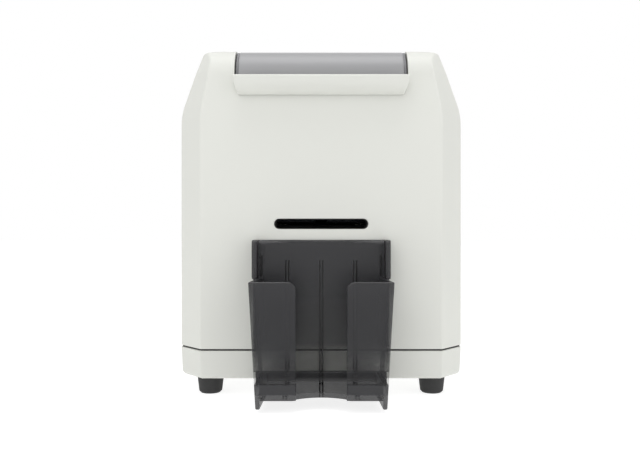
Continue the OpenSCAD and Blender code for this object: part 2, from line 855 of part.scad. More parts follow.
// Face of the film in (y, z), t below its upper side: up behind the front roll, under the rods, up
// in front of the back roll
function film_line(t) = let (
    low = film_low + film_t - t,
    front = [rod_front_y - rod_r - 0.6 - t, low],
    back = [rod_back_y + rod_r + 0.6 + t, low],
    r0 = takeup_r + 0.1 + film_t - t,
    r1 = supply_r + 0.1 + film_t - t,
    a0 = touch_angle([takeup_y, spool_z], r0, front, 1),
    a1 = touch_angle([supply_y, spool_z], r1, back, -1))
    [[takeup_y, spool_z] + r0 * [cos(a0), sin(a0)], front, back,
        [supply_y, spool_z] + r1 * [cos(a1), sin(a1)]];

// The film between the two rolls, under both guide rods
module ribbon_film() {
    outer = film_line(0);
    inner = film_line(film_t);
    color(ribbon_black) placed()
        across(-ribbon_half, ribbon_half)
            polygon([for (i = [0:3]) outer[i], for (i = [3:-1:0]) inner[i]]);
}

module transport_motor() {
    half = 17.5;
    color(steel) placed()
        difference() {
            union() {
                across(-plate_in + touch, -plate_in + 5)
                    polygon(round_box(motor_y - half, motor_y + half, motor_z - half, motor_z + half, 4));
                bar_x(half - 0.5, -plate_in + 5, -plate_in + 26, motor_y, motor_z);
                across(-plate_in + 26, -plate_in + 30)
                    polygon(round_box(motor_y - half, motor_y + half, motor_z - half, motor_z + half, 4));
                bar_x(5, -plate_out - 0.5, -plate_in + 1, motor_y, motor_z);
            }
            bar_x(2.5 + run, -plate_out - 2, -plate_in + 24, motor_y, motor_z);
        }
}

module ribbon_motor() {
    x1 = gear_x0 - 2;
    lug = 13.5; // height of each fixing lug's pillar from the shaft
    color(steel) placed()
        difference() {
            union() {
                bar_x(11.5, x1 - 24, x1, pinion_y, pinion_z);
                across(x1 - 3, x1)
                    polygon(round_box(pinion_y - 9, pinion_y + 9, pinion_z - lug - 3.5,
                        pinion_z + lug + 3.5, 4));
                for (z = [pinion_z - lug, pinion_z + lug])
                    bar_x(2.2, x1 - 1, -plate_out - touch, pinion_y, z);
            }
            bar_x(2 + run, x1 - 18, x1 + 1, pinion_y, pinion_z);
        }
}

module feed_motor() {
    x1 = -plate_out - 3;
    lug = 14.5; // distance of each fixing lug's pillar from the shaft
    color(steel) placed()
        difference() {
            union() {
                bar_x(14, x1 - 26, x1, pick_y, pick_z);
                across(x1 - 3, x1)
                    polygon(round_box(pick_y - lug - 3.5, pick_y + lug + 3.5, pick_z - 9, pick_z + 9, 4));
                for (y = [pick_y - lug, pick_y + lug])
                    bar_x(2.2, x1 - 1, -plate_out - touch, y, pick_z);
            }
            bar_x(shaft_r - 0.5 + run, x1 - 20, x1 + 1, pick_y, pick_z);
        }
}

module main_board() {
    color(board_green) placed() {
        box(-board_half, board_half, board_y0, board_y1, board_z, board_z + board_t);
        // Processor, driver chip, plug row and capacitors
        box(-16, 4, board_y0 + 30, board_y0 + 50, board_z + 1, board_z + board_t + 1.6);
        box(14, 26, board_y0 + 34, board_y0 + 46, board_z + 1, board_z + board_t + 1.4);
        for (i = [-2:2])
            box(i * 15 - 5, i * 15 + 5, board_y0 + 4, board_y0 + 9, board_z + 1, board_z + board_t + 6.4);
        for (p = [[-27, 62], [-27, 46], [30, 60]])
            translate([p[0], board_y0 + p[1], board_z + 1])
                cylinder(h = board_t + 8.9, r = 4);
    }
}

// A socket on the board's back edge: outer box less its mouth
module socket(port, depth, mouth_w, mouth_h) {
    z = port_z + port[2] / 2;
    difference() {
        box(port[0] - port[1] / 2, port[0] + port[1] / 2, body_d - depth, body_d - 0.4, port_z,
            port_z + port[2]);
        box(port[0] - mouth_w / 2, port[0] + mouth_w / 2, body_d - 9, body_d + 1, z - mouth_h / 2,
            z + mouth_h / 2);
    }
}

module dc_jack() {
    x = dc_port[0];
    z = port_z + dc_port[2] / 2;
    color(rubber_black) placed() {
        difference() {
            box(x - dc_port[1] / 2, x + dc_port[1] / 2, body_d - 16, body_d - 0.4, port_z,
                port_z + dc_port[2]);
            bar_y(3.2, body_d - 10, body_d + 1, x, z);
        }
        bar_y(1, body_d - 11, body_d - 1.5, x, z);
    }
}

module usb_port() {
    color(steel) placed() {
        socket(usb, 16, 8.6, 7.8);
        // Tongue with the contacts
        box(usb[0] - 2.8, usb[0] + 2.8, body_d - 10, body_d - 2, port_z + usb[2] / 2 - 1.5,
            port_z + usb[2] / 2 + 1.5);
    }
}

module lan_port() {
    color(steel) placed()
        socket(lan, 20, 12, 8);
}

// The switch's outline from y0 to y1, grown by grow
module switch_box(grow, y0, y1) {
    box(switch_x - switch_hx - grow, switch_x + switch_hx + grow, y0, y1, switch_z - switch_hz - grow,
        switch_z + switch_hz + grow);
}

module switch_housing() {
    color(rubber_black) placed()
        difference() {
            union() {
                switch_box(0, body_d - 16, body_d + 1);
                switch_box(switch_wall, body_d + touch, body_d + 1.4);
            }
            switch_box(-switch_wall, body_d - 12, body_d + 3);
            bar_x(1 + run, switch_x - switch_hx + 0.4, switch_x + switch_hx - 0.4, rocker_y, switch_z);
        }
}

module power_rocker() {
    color("#1C1C1E") placed() {
        across(switch_x - switch_hx + switch_wall + 0.4, switch_x + switch_hx - switch_wall - 0.4)
            polygon([[rocker_y - 3, switch_z - 3], [rocker_y + 3.4, switch_z - 6.8],
                [rocker_y + 6.6, switch_z - 6.6], [rocker_y + 4.6, switch_z],
                [rocker_y + 4.2, switch_z + 6.8], [rocker_y + 1, switch_z + 6.8],
                [rocker_y - 3, switch_z + 3]]);
        bar_x(1, switch_x - switch_hx + 0.8, switch_x + switch_hx - 0.8, rocker_y, switch_z);
    }
}

module fan_housing() {
    y1 = body_d - wall - touch;
    color(rubber_black) placed() {
        difference() {
            box(fan_x - fan_half, fan_x + fan_half, y1 - fan_t, y1, fan_z - fan_half, fan_z + fan_half);
            bar_y(fan_half - 1, y1 - fan_t - 1, y1 + 1, fan_x, fan_z);
        }
        // Motor mount on four arms, with the rotor's axle
        bar_y(6, y1 - fan_t, y1 - fan_t + 1.6, fan_x, fan_z);
        for (a = [45:90:315])
            translate([fan_x, y1 - fan_t, fan_z])
                rotate([0, a, 0])
                    box(5, fan_half - 0.5, 0, 1.6, -1, 1);
        bar_y(1.5, y1 - 9, y1 - 1.6, fan_x, fan_z);
    }
}

module fan_rotor() {
    y1 = body_d - wall - touch;
    color(deck_grey) placed()
        difference() {
            union() {
                bar_y(6.5, y1 - 7.8, y1 - 1, fan_x, fan_z);
                for (i = [0:6])
                    translate([fan_x, y1 - 4.5, fan_z])
                        rotate([0, i * 360 / 7, 0])
                            rotate([35, 0, 0])
                                box(5.5, fan_half - 2, -0.5, 0.5, -3, 3);
            }
            bar_y(1.5 + run, y1 - 9, y1 - 1.4, fan_x, fan_z);
        }
}

// Board under the right shoulder, with two key switches and three light pipes
module control_board() {
    y0 = light_ys[0] - 6;
    y1 = button_ys[1] + 9;
    color(board_green) placed() {
        box(shoulder_x0 + 0.7, shoulder_x1 - 1.5, y0, y1, panel_z - board_t, panel_z);
        for (y = button_ys)
            box(button_x - 3, button_x + 3, y - 3, y + 3, panel_z - 0.1, panel_z + 3);
        for (y = light_ys)
            translate([button_x, y, panel_z - 0.1])
                cylinder(h = button_top - panel_z - 0.3, r = pipe_r);
        // Bracket that stands on the side of the lid recess
        box(shoulder_x0 + touch, shoulder_x0 + 0.9, y0 + 2, y1 - 2, panel_z - 6, panel_z);
    }
}

module shoulder_button(y) {
    color(lid_grey) placed()
        translate([button_x, y, flange_z]) {
            cylinder(h = button_top - flange_z, r = button_r);
            cylinder(h = flange_t, r = button_r + button_rim);
        }
}

module feed_button() {
    shoulder_button(button_ys[0]);
}

module menu_button() {
    shoulder_button(button_ys[1]);
}

// Bin that holds the blank cards, open towards the back door
module hopper_chute() {
    color(deck_grey) placed()
        difference() {
            union() {
                box(-chute_half - chute_t, chute_half + chute_t, chute_y0, chute_y1, chute_floor - chute_t,
                    chute_floor + hopper_h);
                // Wings that reach the side plates
                for (z = [chute_floor + 8, chute_floor + hopper_h - 6])
                    both_sides()
                        box(chute_half, plate_in - touch, chute_y0 + 4, chute_y0 + 7, z, z + 6);
                both_sides()
                    box(chute_half, plate_in - touch, plate_y1 - 9, plate_y1 - 6, chute_floor + 8,
                        chute_floor + 14);
            }
            box(-chute_half, chute_half, chute_y0 + chute_t, chute_y1 + 1, chute_floor,
                chute_floor + hopper_h + 1);
            // Window for the pick roller
            box(-13.5, 13.5, pick_y - pick_r - 1.5, pick_y + pick_r + 1.5, chute_floor - 3,
                chute_floor + 1);
            // Gate that lets one card through
            box(-chute_half, chute_half, chute_y0 - 1, chute_y0 + chute_t + 1, chute_floor,
                chute_floor + 2.1);
            // Thumb cut in both walls
            both_sides()
                across(chute_half - 1, chute_half + chute_t + 1)
                    polygon(round_box(chute_y1 - 26, chute_y1 + 8, chute_floor + 26,
                        chute_floor + hopper_h - 16, 6));
        }
    color(deck_grey) placed()
        // Stops that keep the card weight in the bin
        both_sides()
            box(chute_half - 0.8, chute_half + 0.1, chute_y0 + 20, chute_y0 + 32,
                weight_z + weight_t + weight_lift + seat, weight_z + weight_t + weight_lift + seat + 3);
}

// Weight that presses the cards on the pick roller
module card_weight() {
    color("#6E7074") placed()
        difference() {
            union() {
                box(-chute_half + seat, chute_half - seat, chute_y0 + chute_t + 2, chute_y1 - 12, weight_z,
                    weight_z + weight_t);
                box(-chute_half + 6, chute_half - 6, chute_y0 + 12, chute_y1 - 24, weight_z + weight_t - 1,
                    weight_z + weight_t + 3);
            }
            // Finger hole
            translate([0, chute_y1 - 30, weight_z - 1])
                cylinder(h = weight_t + 7, r = 9);
        }
}

// Toothless loop round the exit, entry and motor pulleys
module drive_belt() {
    color(rubber_black) placed()
        across(belt_x0, belt_x1)
            difference() {
                polygon(belt_line(roller_r + 0.2 + belt_t));
                polygon(belt_line(roller_r + 0.2));
            }
}

// The belt's face at distance r from the three shafts, anticlockwise from the top of the front one
function belt_line(r) = let (down = -90) concat(arc(exit_y, roller_z, r, 90, 360 + down - belt_lean, 14),
    arc(motor_y, motor_z, r, down - belt_lean, down + belt_lean, 8),
    arc(entry_y, roller_z, r, down + belt_lean, 90, 14));

module motor_pulley() {
    color(steel) placed() {
        bar_x(roller_r, belt_x0 - 0.4, belt_x1 + 0.4, motor_y, motor_z);
        bar_x(roller_r + 1.6, belt_x0 - 1.4, belt_x0 - 0.4, motor_y, motor_z);
        bar_x(2.5, belt_x1, -plate_in + 20, motor_y, motor_z);
    }
}

// A driven roller: shaft, rubber sleeve, and a pulley outside the left plate
module driven_roller(y, z, r) {
    bar_x(shaft_r, belt_x0 - 1.4, plate_out + 3, y, z);
    bar_x(r, belt_x0 - 0.4, belt_x1 + 0.4, y, z);
    bar_x(r, -rubber_half, rubber_half, y, z);
    both_sides()
        bar_x(shaft_r + 1.4, rubber_half + 2, plate_in - 2, y, z);
}

module exit_roller() {
    color(rubber_black) placed()
        driven_roller(exit_y, roller_z, roller_r);
}

module middle_roller() {
    color(rubber_black) placed()
        driven_roller(middle_y, roller_z, roller_r);
}

module entry_roller() {
    color(rubber_black) placed()
        driven_roller(entry_y, roller_z, roller_r);
}

module platen_shaft() {
    color(steel) placed() {
        bar_x(shaft_r, belt_x0 - 1.4, plate_out + 3, platen_y, platen_z);
        bar_x(platen_r, belt_x0 - 0.4, belt_x1 + 0.4, platen_y, platen_z);
    }
}

module platen_sleeve() {
    color("#1E1F22") placed()
        tube_x(platen_r, shaft_r + 0.02, -rubber_half - 1, rubber_half + 1, platen_y, platen_z);
}

module pinch_roller(y) {
    bar_x(shaft_r - 0.8, -plate_out - 2, plate_out + 2, y, pinch_z);
    for (x = [-rubber_half, 4])
        bar_x(pinch_r, x, x + rubber_half - 4, y, pinch_z);
}

module exit_pinch_roller() {
    color(steel) placed()
        pinch_roller(exit_y);
}

module middle_pinch_roller() {
    color(steel) placed()
        pinch_roller(middle_y);
}

module entry_pinch_roller() {
    color(steel) placed()
        pinch_roller(entry_y);
}

module cleaning_roller() {
    color("#3E7FC1") placed() {
        bar_x(shaft_r - 0.8, -plate_out - 2, plate_out + 2, clean_y, clean_z);
        bar_x(clean_r, -rubber_half, rubber_half, clean_y, clean_z);
    }
}

module pick_roller() {
    color(rubber_black) placed() {
        bar_x(shaft_r, -plate_out - 1.6, plate_out + 3, pick_y, pick_z);
        bar_x(shaft_r - 0.5, -plate_out - 20, -plate_out - 1, pick_y, pick_z);
        bar_x(pick_r, -12, 12, pick_y, pick_z);
    }
}

module ribbon_core(y) {
    difference() {
        union() {
            bar_x(core_r, -ribbon_half - 2, ribbon_half + 2, y, spool_z);
            bar_x(journal_r, -core_half, core_half, y, spool_z);
            both_sides()
                bar_x(core_r + 1, ribbon_half + 2, ribbon_half + 4, y, spool_z);
        }
        bar_x(journal_r - 1.8, -core_half - 1, core_half + 1, y, spool_z);
    }
}

module supply_core() {
    color("#E8E4D8") placed()
        ribbon_core(supply_y);
}

module takeup_core() {
    color("#E8E4D8") placed()
        ribbon_core(takeup_y);
}

module supply_roll() {
    color(ribbon_black) placed()
        tube_x(supply_r, core_r + 0.02, -ribbon_half, ribbon_half, supply_y, spool_z);
}

module takeup_roll() {
    color(ribbon_black) placed()
        tube_x(takeup_r, core_r + 0.02, -ribbon_half, ribbon_half, takeup_y, spool_z);
}

// Gear outside the left plate, whose spindle turns the take-up core
module takeup_gear() {
    color("#E9E3CF") placed() {
        difference() {
            across(gear_x0, gear_x1)
                translate([takeup_y, spool_z])
                    gear_outline(gear_teeth, gear_r, mesh_angle);
            for (i = [0:4])
                bar_x(3.4, gear_x0 - 1, gear_x1 + 1, takeup_y + 11 * cos(i * 72),
                    spool_z + 11 * sin(i * 72));
        }
        bar_x(journal_r - 2, gear_x0 - 1, -core_half + 12, takeup_y, spool_z);
    }
}

module ribbon_pinion() {
    color("#E9E3CF") placed() {
        across(gear_x0, gear_x1)
            translate([pinion_y, pinion_z])
                gear_outline(pinion_teeth, pinion_r, mesh_angle + 180 + 180 / pinion_teeth);
        bar_x(2, gear_x0 - 16, gear_x0 + 1, pinion_y, pinion_z);
    }
}

module lid_magnets() {
    color(steel) placed()
        both_sides()
            translate([catch_x, catch_y, bay_z - 4])
                cylinder(h = 5.2, r = catch_r);
}

module lid_strikers() {
    color(steel) placed()
        both_sides()
            translate([catch_x, catch_y, striker_z])
                cylinder(h = striker_t, r = catch_r);
}

module hinge_pins() {
    color(steel) placed()
        both_sides() {
            bar_x(pin_r, bay_half - 12, bay_half + wall + 2, hinge_y, hinge_z);
            bar_x(door_pin_r, door_half - 14, door_half - 5.4, door_axis_y, door_axis_z);
        }
}

// Dark deck round the ribbon bay, seen when the lid is up
module inner_deck() {
    color(deck_grey) placed()
        difference() {
            box(-bay_half + 0.4, bay_half - 0.4, wall + 0.6, bay_end - 2, deck_z, bay_z + 0.8);
            linear_extrude(top_z)
                polygon(round_box(-plate_in + 4, plate_in - 4, catch_y + 10, clean_y + 12, 6));
            both_sides()
                translate([catch_x, catch_y, bay_z - 6])
                    cylinder(h = 10, r = catch_r + touch);
        }
}

// The lid panel's cross-section in (y, z), its outside moved in by drop
module lid_section(drop, t) {
    r = lid_r - drop;
    cy = lid_front + lid_r;
    cz = lid_top - lid_r;
    y1 = hinge_y + lid_tail;
    difference() {
        polygon(concat([[lid_front + drop, lid_low]], arc(cy, cz, r, 180, 90, 16), [[y1, lid_top - drop],
            [y1, lid_top - t]], arc(cy, cz, lid_r - t, 90, 180, 16), [[lid_front + t, lid_low]]));
        translate([hinge_y, hinge_z])
            circle(r = barrel_r + touch);
    }
}

module lid_panel() {
    color(lid_grey) placed() {
        across(-lid_half + lid_step_w, lid_half - lid_step_w)
            lid_section(0, lid_t);
        both_sides()
            across(lid_half - lid_step_w - 0.01, lid_half)
                lid_section(lid_step, lid_t);
    }
}

// White handle along the lid's front edge
module lid_lip() {
    low = lip_top - lip_h;
    color(shell_white) placed()
        intersection() {
            difference() {
                across(-lid_half, lid_half)
                    lip_section(0);
                across(-lid_half + lip_t, lid_half - lip_t)
                    lip_section(lip_t);
            }
            along(-lip_out - 1, lid_front + lid_t + 1)
                polygon([[-lid_half + 1.6, low - 1], [lid_half - 1.6, low - 1], [lid_half, lip_top - 2],
                    [lid_half, lip_top + 1], [-lid_half, lip_top + 1], [-lid_half, lip_top - 2]]);
        }
}

// Outline of the lip in (y, z), taken in by t to make its hollow
module lip_section(t) {
    low = lip_top - lip_h;
    hollow = t > 0;
    back = lid_front + lid_t + (hollow ? 1 : 0);
    tongue = lip_top - t - (hollow ? 0 : lid_t); // underside of the part that lies under the panel
    a = [-lip_out + t, lip_top - 1.2];
    b = [-lip_gap, low + t];
    len = norm(b - a);
    h = sqrt(lip_r * lip_r - len * len / 4);
    c = (a + b) / 2 + h * [a[1] - b[1], b[0] - a[0]] / len;
    a0 = atan2(a[1] - c[1], a[0] - c[0]);
    a1 = atan2(b[1] - c[1], b[0] - c[0]);
    polygon(concat([[hollow ? back : -lip_gap, tongue], [back, tongue], [back, lip_top - t],
        [-lip_out + 1 + t, lip_top - t]], arc(c[0], c[1], lip_r, a0, a1, 10)));
}

// Structural frame under the lid panel: deck plate, side ribs, hinge barrel, guide tubes
module lid_frame() {
    z1 = under_lid - 0.1;
    z0 = z1 - frame_t;
    y0 = lid_front + lid_r + 1;
    color(deck_grey) placed()
        difference() {
            union() {
                box(-frame_half, frame_half, y0, hinge_y - 2, z0, z1);
                both_sides()
                    box(frame_half - 2, frame_half, y0, hinge_y - 12, bay_z + 4, z1);
                for (y = [takeup_y - 10, clean_y + 4, pick_y + 4])
                    box(-frame_half, frame_half, y, y + 2, z0 - 5, z1);
                bar_x(barrel_r, -barrel_half, barrel_half, hinge_y, hinge_z);
                box(-frame_half, frame_half, hinge_y - 14, hinge_y, hinge_z - 2, z1);
                both_sides() {
                    translate([guide_x, head_y, tube_low])
                        cylinder(h = z1 - tube_low, r = guide_r + 3);
                    translate([catch_x, catch_y, striker_z + striker_t + touch])
                        cylinder(h = z0 + 0.3 - (striker_z + striker_t + touch), r = catch_r);
                    box(frame_half - 8, frame_half, lid_front + lid_r - 4.7, y0 + 1, z0, z1 - 1);
                }
            }
            both_sides() {
                translate([guide_x, head_y, tube_low - 1])
                    cylinder(h = z1 - tube_low - 3, r = guide_r + run);
                bar_x(pin_r + run, barrel_half - 14, barrel_half + 1, hinge_y, hinge_z);
            }
        }
}

// One turn of wire after another, as a single tube
module coil(radius, wire, turns, height) {
    sides = 6;
    rings = 10 * turns;
    points = [for (i = [0:rings]) let (a = 360 * turns * i / rings, z = height * i / rings)
        each [for (k = [0:sides - 1]) let (b = 360 * k / sides)
            [(radius + wire * cos(b)) * cos(a), (radius + wire * cos(b)) * sin(a), z + wire * sin(b)]]];
    skin = [for (i = [0:rings - 1]) for (k = [0:sides - 1])
        let (k1 = (k + 1) % sides, p = i * sides, q = p + sides)
            each [[p + k, q + k, q + k1], [p + k, q + k1, p + k1]]];
    low = [for (k = [1:sides - 2]) [0, k, k + 1]];
    high = [for (k = [1:sides - 2]) [rings * sides, rings * sides + k + 1, rings * sides + k]];
    polyhedron(points, concat(skin, low, high));
}

module head_springs() {
    gap = wire_r + 0.2;
    z0 = yoke_z + yoke_t + gap;
    color(steel) placed()
        both_sides()
            translate([guide_x, head_y, z0])
                coil(guide_r + 1.5, wire_r, 6, tube_low - z0 - gap);
}

// Inverted U that carries the heat sink and slides on two pins in the lid
module head_bracket() {
    y0 = head_y - sink_half - 1;
    y1 = head_y + sink_half + 1;
    color(steel) placed() {
        box(-yoke_half, yoke_half, y0, y1, yoke_z, yoke_z + yoke_t);
        both_sides() {
            difference() {
                box(head_half + 0.1, yoke_half, y0, y1, sink_z, yoke_z + 1);
                across(head_half - 1, yoke_half + 1)
                    polygon(round_box(y0 + 5, y1 - 5, sink_z + 20, yoke_z - 8, 4));
            }
            translate([guide_x, head_y, yoke_z + 1])
                cylinder(h = under_lid - frame_t - 5 - yoke_z - 1, r = guide_r);
        }
    }
}

module heat_sink() {
    fins = 13;
    fin_t = 1.5;
    step = (2 * head_half - fin_t) / (fins - 1);
    color("#C9CDD2") placed() {
        box(-head_half, head_half, head_y - sink_half, head_y + sink_half, sink_z, sink_z + sink_base);
        for (i = [0:fins - 1])
            box(-head_half + i * step, -head_half + i * step + fin_t, head_y - sink_half,
                head_y + sink_half,
                sink_z + sink_base - 1, sink_z + sink_h);
    }
}

module print_head() {
    color("#C9B27A") placed()
        difference() {
            union() {
                box(-head_half, head_half, head_y - sink_half + 1, head_y + sink_half - 3, head_z,
                    sink_z - touch);
                bar_x(1, -ribbon_half + 1, ribbon_half - 1, platen_y, head_z);
            }
            // Recess for the head's cable plug
            box(-5, 5, head_y + 1, head_y + sink_half, head_z + 2, sink_z + 1);
        }
}

// Place of y between the back of the tray's side wall, 0, and its front, 1
function wall_run(y) = (-y - tray_gap - tray_t) / (tray_out - tray_gap - tray_t);

// Inner face of the tray's side wall: it leans in towards the bottom, most at the front, and the back
function wall_x(z, y) = tray_half - 6.2 - (flap_top - z) * wall_lean * (1 + wall_run(y) / 2)
    + wall_splay * wall_run(y);

module tray_wall(z0, z1, y0, y1) {
    hull()
        for (z = [z0, z1 - 0.01])
            translate([0, 0, z])
                linear_extrude(0.01)
                    polygon([[wall_x(z, y0), y0], [wall_x(z, y0) + tray_t, y0],
                        [wall_x(z, y1) + tray_t, y1],
                        [wall_x(z, y1), y1]]);
}

module output_tray() {
    back0 = -tray_gap - tray_t;
    front = -tray_out;
    flap_y1 = front + 0.8 + tray_t;
    color(smoke) placed()
        difference() {
            union() {
                // Back plate, with its thicker foot
                box(-tray_half, tray_half, back0, -tray_gap, tray_foot_z, tray_top);
                box(-tray_half + 1.6, tray_half - 1.6, back0 - 0.4, -tray_gap, tray_floor - 3,
                    tray_foot_z + 0.5);
                // Floor
                box(-tray_half + 6, tray_half - 6, front + 1.4, back0 + 1, tray_floor - 3, tray_floor);
                both_sides() {
                    tray_wall(tray_low, flap_top, front, back0 + 0.5);
                    // Ear beside the upper part of the back plate
                    box(tray_half - ear_t, tray_half, -ear_out, -tray_gap, flap_top + 0.6, tray_top);
                    hull() {
                        box(tray_half - 6.5, tray_half - 0.4, back0 - 0.6, -tray_gap, flap_top - 6,
                            flap_top + 1);
                        box(tray_half - ear_t, tray_half, back0 - 0.6, -tray_gap, flap_top + 0.6,
                            flap_top + 2);
                    }
                    // Front flap
                    tray_flap(front + 0.8, flap_y1);
                    // Hook behind the back plate
                    across(hook_x - hook_half, hook_x + hook_half)
                        polygon([[-tray_gap - 0.1, hook_z], [wall + 0.6, hook_z],
                            [wall + 0.6, hook_z - hook_drop], [wall + 2.6, hook_z - hook_drop],
                            [wall + 2.6, hook_z + hook_h], [-tray_gap - 0.1, hook_z + hook_h]]);
                }
                // Ribs on the back plate and on the floor
                for (x = rib_xs) {
                    box(x - rib_half, x + rib_half, back0 - 0.9, back0 + 0.5, tray_foot_z + 1,
                        tray_top - 13);
                    box(x - rib_half, x + rib_half, front + 6, back0 - 2, tray_floor - 0.5,
                        tray_floor + 0.7);
                }
            }
            // Finger notch in the floor's front edge, between the flaps
            intersection() {
                translate([0, front + notch_d - notch_r, tray_floor - 8])
                    cylinder(h = 12, r = notch_r, $fn = 96);
                box(-flap_gap, flap_gap, front - 1, front + notch_d + 1, tray_floor - 8,
                    tray_floor + 4);
            }
            // See-through corner beside each flap's foot
            both_sides()
                box(tray_half - 8.6, tray_half - 6.6, front - 1, flap_y1 + 2, tray_floor - 1.6,
                    tray_floor + 0.4);
            // Bevel that guides cards down from the slot
            translate([0, back0 - 5.4, tray_top + 3])
                rotate([0, 90, 0])
                    cylinder(h = 2 * tray_half - 8, r = 6, center = true);
            // Core recess in front of each hook
            both_sides()
                box(hook_x - 0.7, hook_x + 0.7, back0 - 1, back0 + 1.2, hook_z - hook_drop,
                    hook_z + hook_h);
            // Fine groove across each side wall's front edge
            both_sides()
                box(tray_half - 12, tray_half, front - 1, front + 0.4, seam_z + 1, seam_z + 1.5);
        }
}

// Front flap: rounded at the top of its inner edge, joined to the side wall
module tray_flap(y0, y1) {
    low = tray_floor - 3;
    lap = 0.6; // how far it reaches into the side wall
    along(y0, y1)
        polygon(concat([[wall_x(low, y0) + lap, low], [wall_x(flap_top, y0) + lap, flap_top - 0.6]],
            arc(flap_gap + flap_r, flap_top - flap_r, flap_r, 90, 180, 6), [[flap_gap, low]]));
}

// Smoked door over the hopper's mouth, hinged along its lower edge
module hopper_door() {
    y0 = body_d + seat;
    color(smoke) placed()
        difference() {
            union() {
                along(y0, y0 + door_t)
                    polygon(round_box(-door_half, door_half, door_low + 0.4, door_high, 4));
                box(-door_half + 12, door_half - 12, y0 + door_t - 0.1, y0 + door_t + 2.4, door_high - 8,
                    door_high - 5.6);
                bar_x(door_barrel_r, -door_half + 10, door_half - 10, door_axis_y, door_axis_z);
                box(-door_half + 10, door_half - 10, y0, y0 + door_t, door_axis_z, door_low + 1);
            }
            both_sides()
                bar_x(door_pin_r + run, door_half - 15, door_half - 9, door_axis_y, door_axis_z);
        }
}

base_pan();
upper_casing();
seam_gasket();
rubber_feet();
case_screws();
chassis_left();
chassis_right();
tie_bars();
shaft_bushes();
exit_chute();
card_guides();
ribbon_cassette();
ribbon_film();
transport_motor();
ribbon_motor();
feed_motor();
main_board();
dc_jack();
usb_port();
lan_port();
switch_housing();
fan_housing();
control_board();
hopper_chute();
drive_belt();
lid_magnets();
hinge_pins();
inner_deck();
lid_panel();
lid_lip();
lid_frame();
lid_strikers();
head_springs();
head_bracket();
heat_sink();
print_head();
output_tray();
hopper_door();
card_weight();
supply_core();
supply_roll();
takeup_core();
takeup_roll();
takeup_gear();
ribbon_pinion();
platen_shaft();
platen_sleeve();
exit_roller();
middle_roller();
entry_roller();
exit_pinch_roller();
middle_pinch_roller();
entry_pinch_roller();
cleaning_roller();
pick_roller();
motor_pulley();
fan_rotor();
power_rocker();
feed_button();
menu_button();
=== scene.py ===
"""Desktop card printer: finished surfaces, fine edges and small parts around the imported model.

Lengths in this file are in millimetres unless a name or comment says otherwise, and are turned to
metres when a mesh is made. The working frame has y 0 at the front face, and FRONT moves it to the
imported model's frame.
"""

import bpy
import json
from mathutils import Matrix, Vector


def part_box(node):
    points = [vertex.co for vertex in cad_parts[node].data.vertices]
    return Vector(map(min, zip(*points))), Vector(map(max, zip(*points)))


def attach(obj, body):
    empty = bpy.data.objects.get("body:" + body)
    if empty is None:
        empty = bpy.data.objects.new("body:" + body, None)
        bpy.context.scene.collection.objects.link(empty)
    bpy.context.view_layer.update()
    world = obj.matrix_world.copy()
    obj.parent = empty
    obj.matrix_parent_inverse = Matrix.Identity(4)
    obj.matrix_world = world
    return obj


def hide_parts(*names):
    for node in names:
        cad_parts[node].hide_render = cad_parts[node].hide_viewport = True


bl_info = {
    "name": "Desktop card printer",
    "version": (1, 0, 0),
    "blender": (4, 5, 0),
    "location": "3D View > Sidebar > Card printer",
    "description": "Builds the finished surfaces and small parts of a desktop card printer",
    "category": "Add Mesh",
}

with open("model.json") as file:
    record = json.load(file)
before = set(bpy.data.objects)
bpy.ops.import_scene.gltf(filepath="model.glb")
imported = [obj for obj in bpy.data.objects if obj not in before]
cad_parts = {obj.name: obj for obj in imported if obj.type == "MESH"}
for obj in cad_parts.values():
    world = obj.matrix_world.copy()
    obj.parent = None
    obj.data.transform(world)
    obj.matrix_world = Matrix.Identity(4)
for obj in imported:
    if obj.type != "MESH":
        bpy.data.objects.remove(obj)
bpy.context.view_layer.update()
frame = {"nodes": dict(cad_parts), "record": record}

import json
import math

import bmesh
import bpy
from bpy.props import FloatProperty, FloatVectorProperty, PointerProperty
from mathutils import Matrix, Vector

MM = 0.001
BODY_OF = {node: body for body, nodes in frame["record"]["behaviour"]["bodies"].items()
           for node in nodes}
SLOT_OF = {node: part.material_slots[0].material.name for node, part in frame["nodes"].items()}


def low(node):
    """Lowest corner of a node in millimetres."""
    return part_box(node)[0] / MM


def high(node):
    """Highest corner of a node in millimetres."""
    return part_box(node)[1] / MM


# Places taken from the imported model
FRONT = low("seam_gasket").y - 0.9  # the casing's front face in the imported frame
TOP = high("upper_casing").z
DEPTH = high("base_pan").y - FRONT
HALF = high("base_pan").x
BASE = high("rubber_feet").z
SEAM = low("seam_gasket").z
LID_TOP, LID_LOW = high("lid_panel").z, low("lid_panel").z
LID_HALF = high("lid_panel").x
LID_TAIL, LID_FRONT = high("lid_panel").y - FRONT, low("lid_panel").y - FRONT
LIP_OUT = FRONT - low("lid_lip").y
LIP_TOP, LIP_LOW = high("lid_lip").z - 0.45, low("lid_lip").z - 0.5  # lowered to meet the photo
TRAY_TOP, TRAY_LOW = high("output_tray").z, low("output_tray").z
TRAY_OUT = FRONT - low("output_tray").y
TRAY_HALF = high("output_tray").x

# Shape of the casing, as the construction has it
CHAMFER_X, CHAMFER_Y = 14.6, 17.0
CHAMFER_LEFT, CHAMFER_RUN = 0.67, 25.0
LEAN_H, LEAN = 40.4, math.radians(22.2)
SHOULDER_FALL = math.radians(6.4)
FRONT_TOP_R, BACK_TOP_R, BLEND_R, CORNER_R = 18.0, 10.0, 30.0, 3.5
FLAT_HALF = LID_HALF + 1.4
WALL = 2.5
BASE_DRAFT = 0.9
LEAN_Z = TOP - LEAN_H
BLEND_Z = LEAN_Z - BLEND_R * math.tan(LEAN / 2)

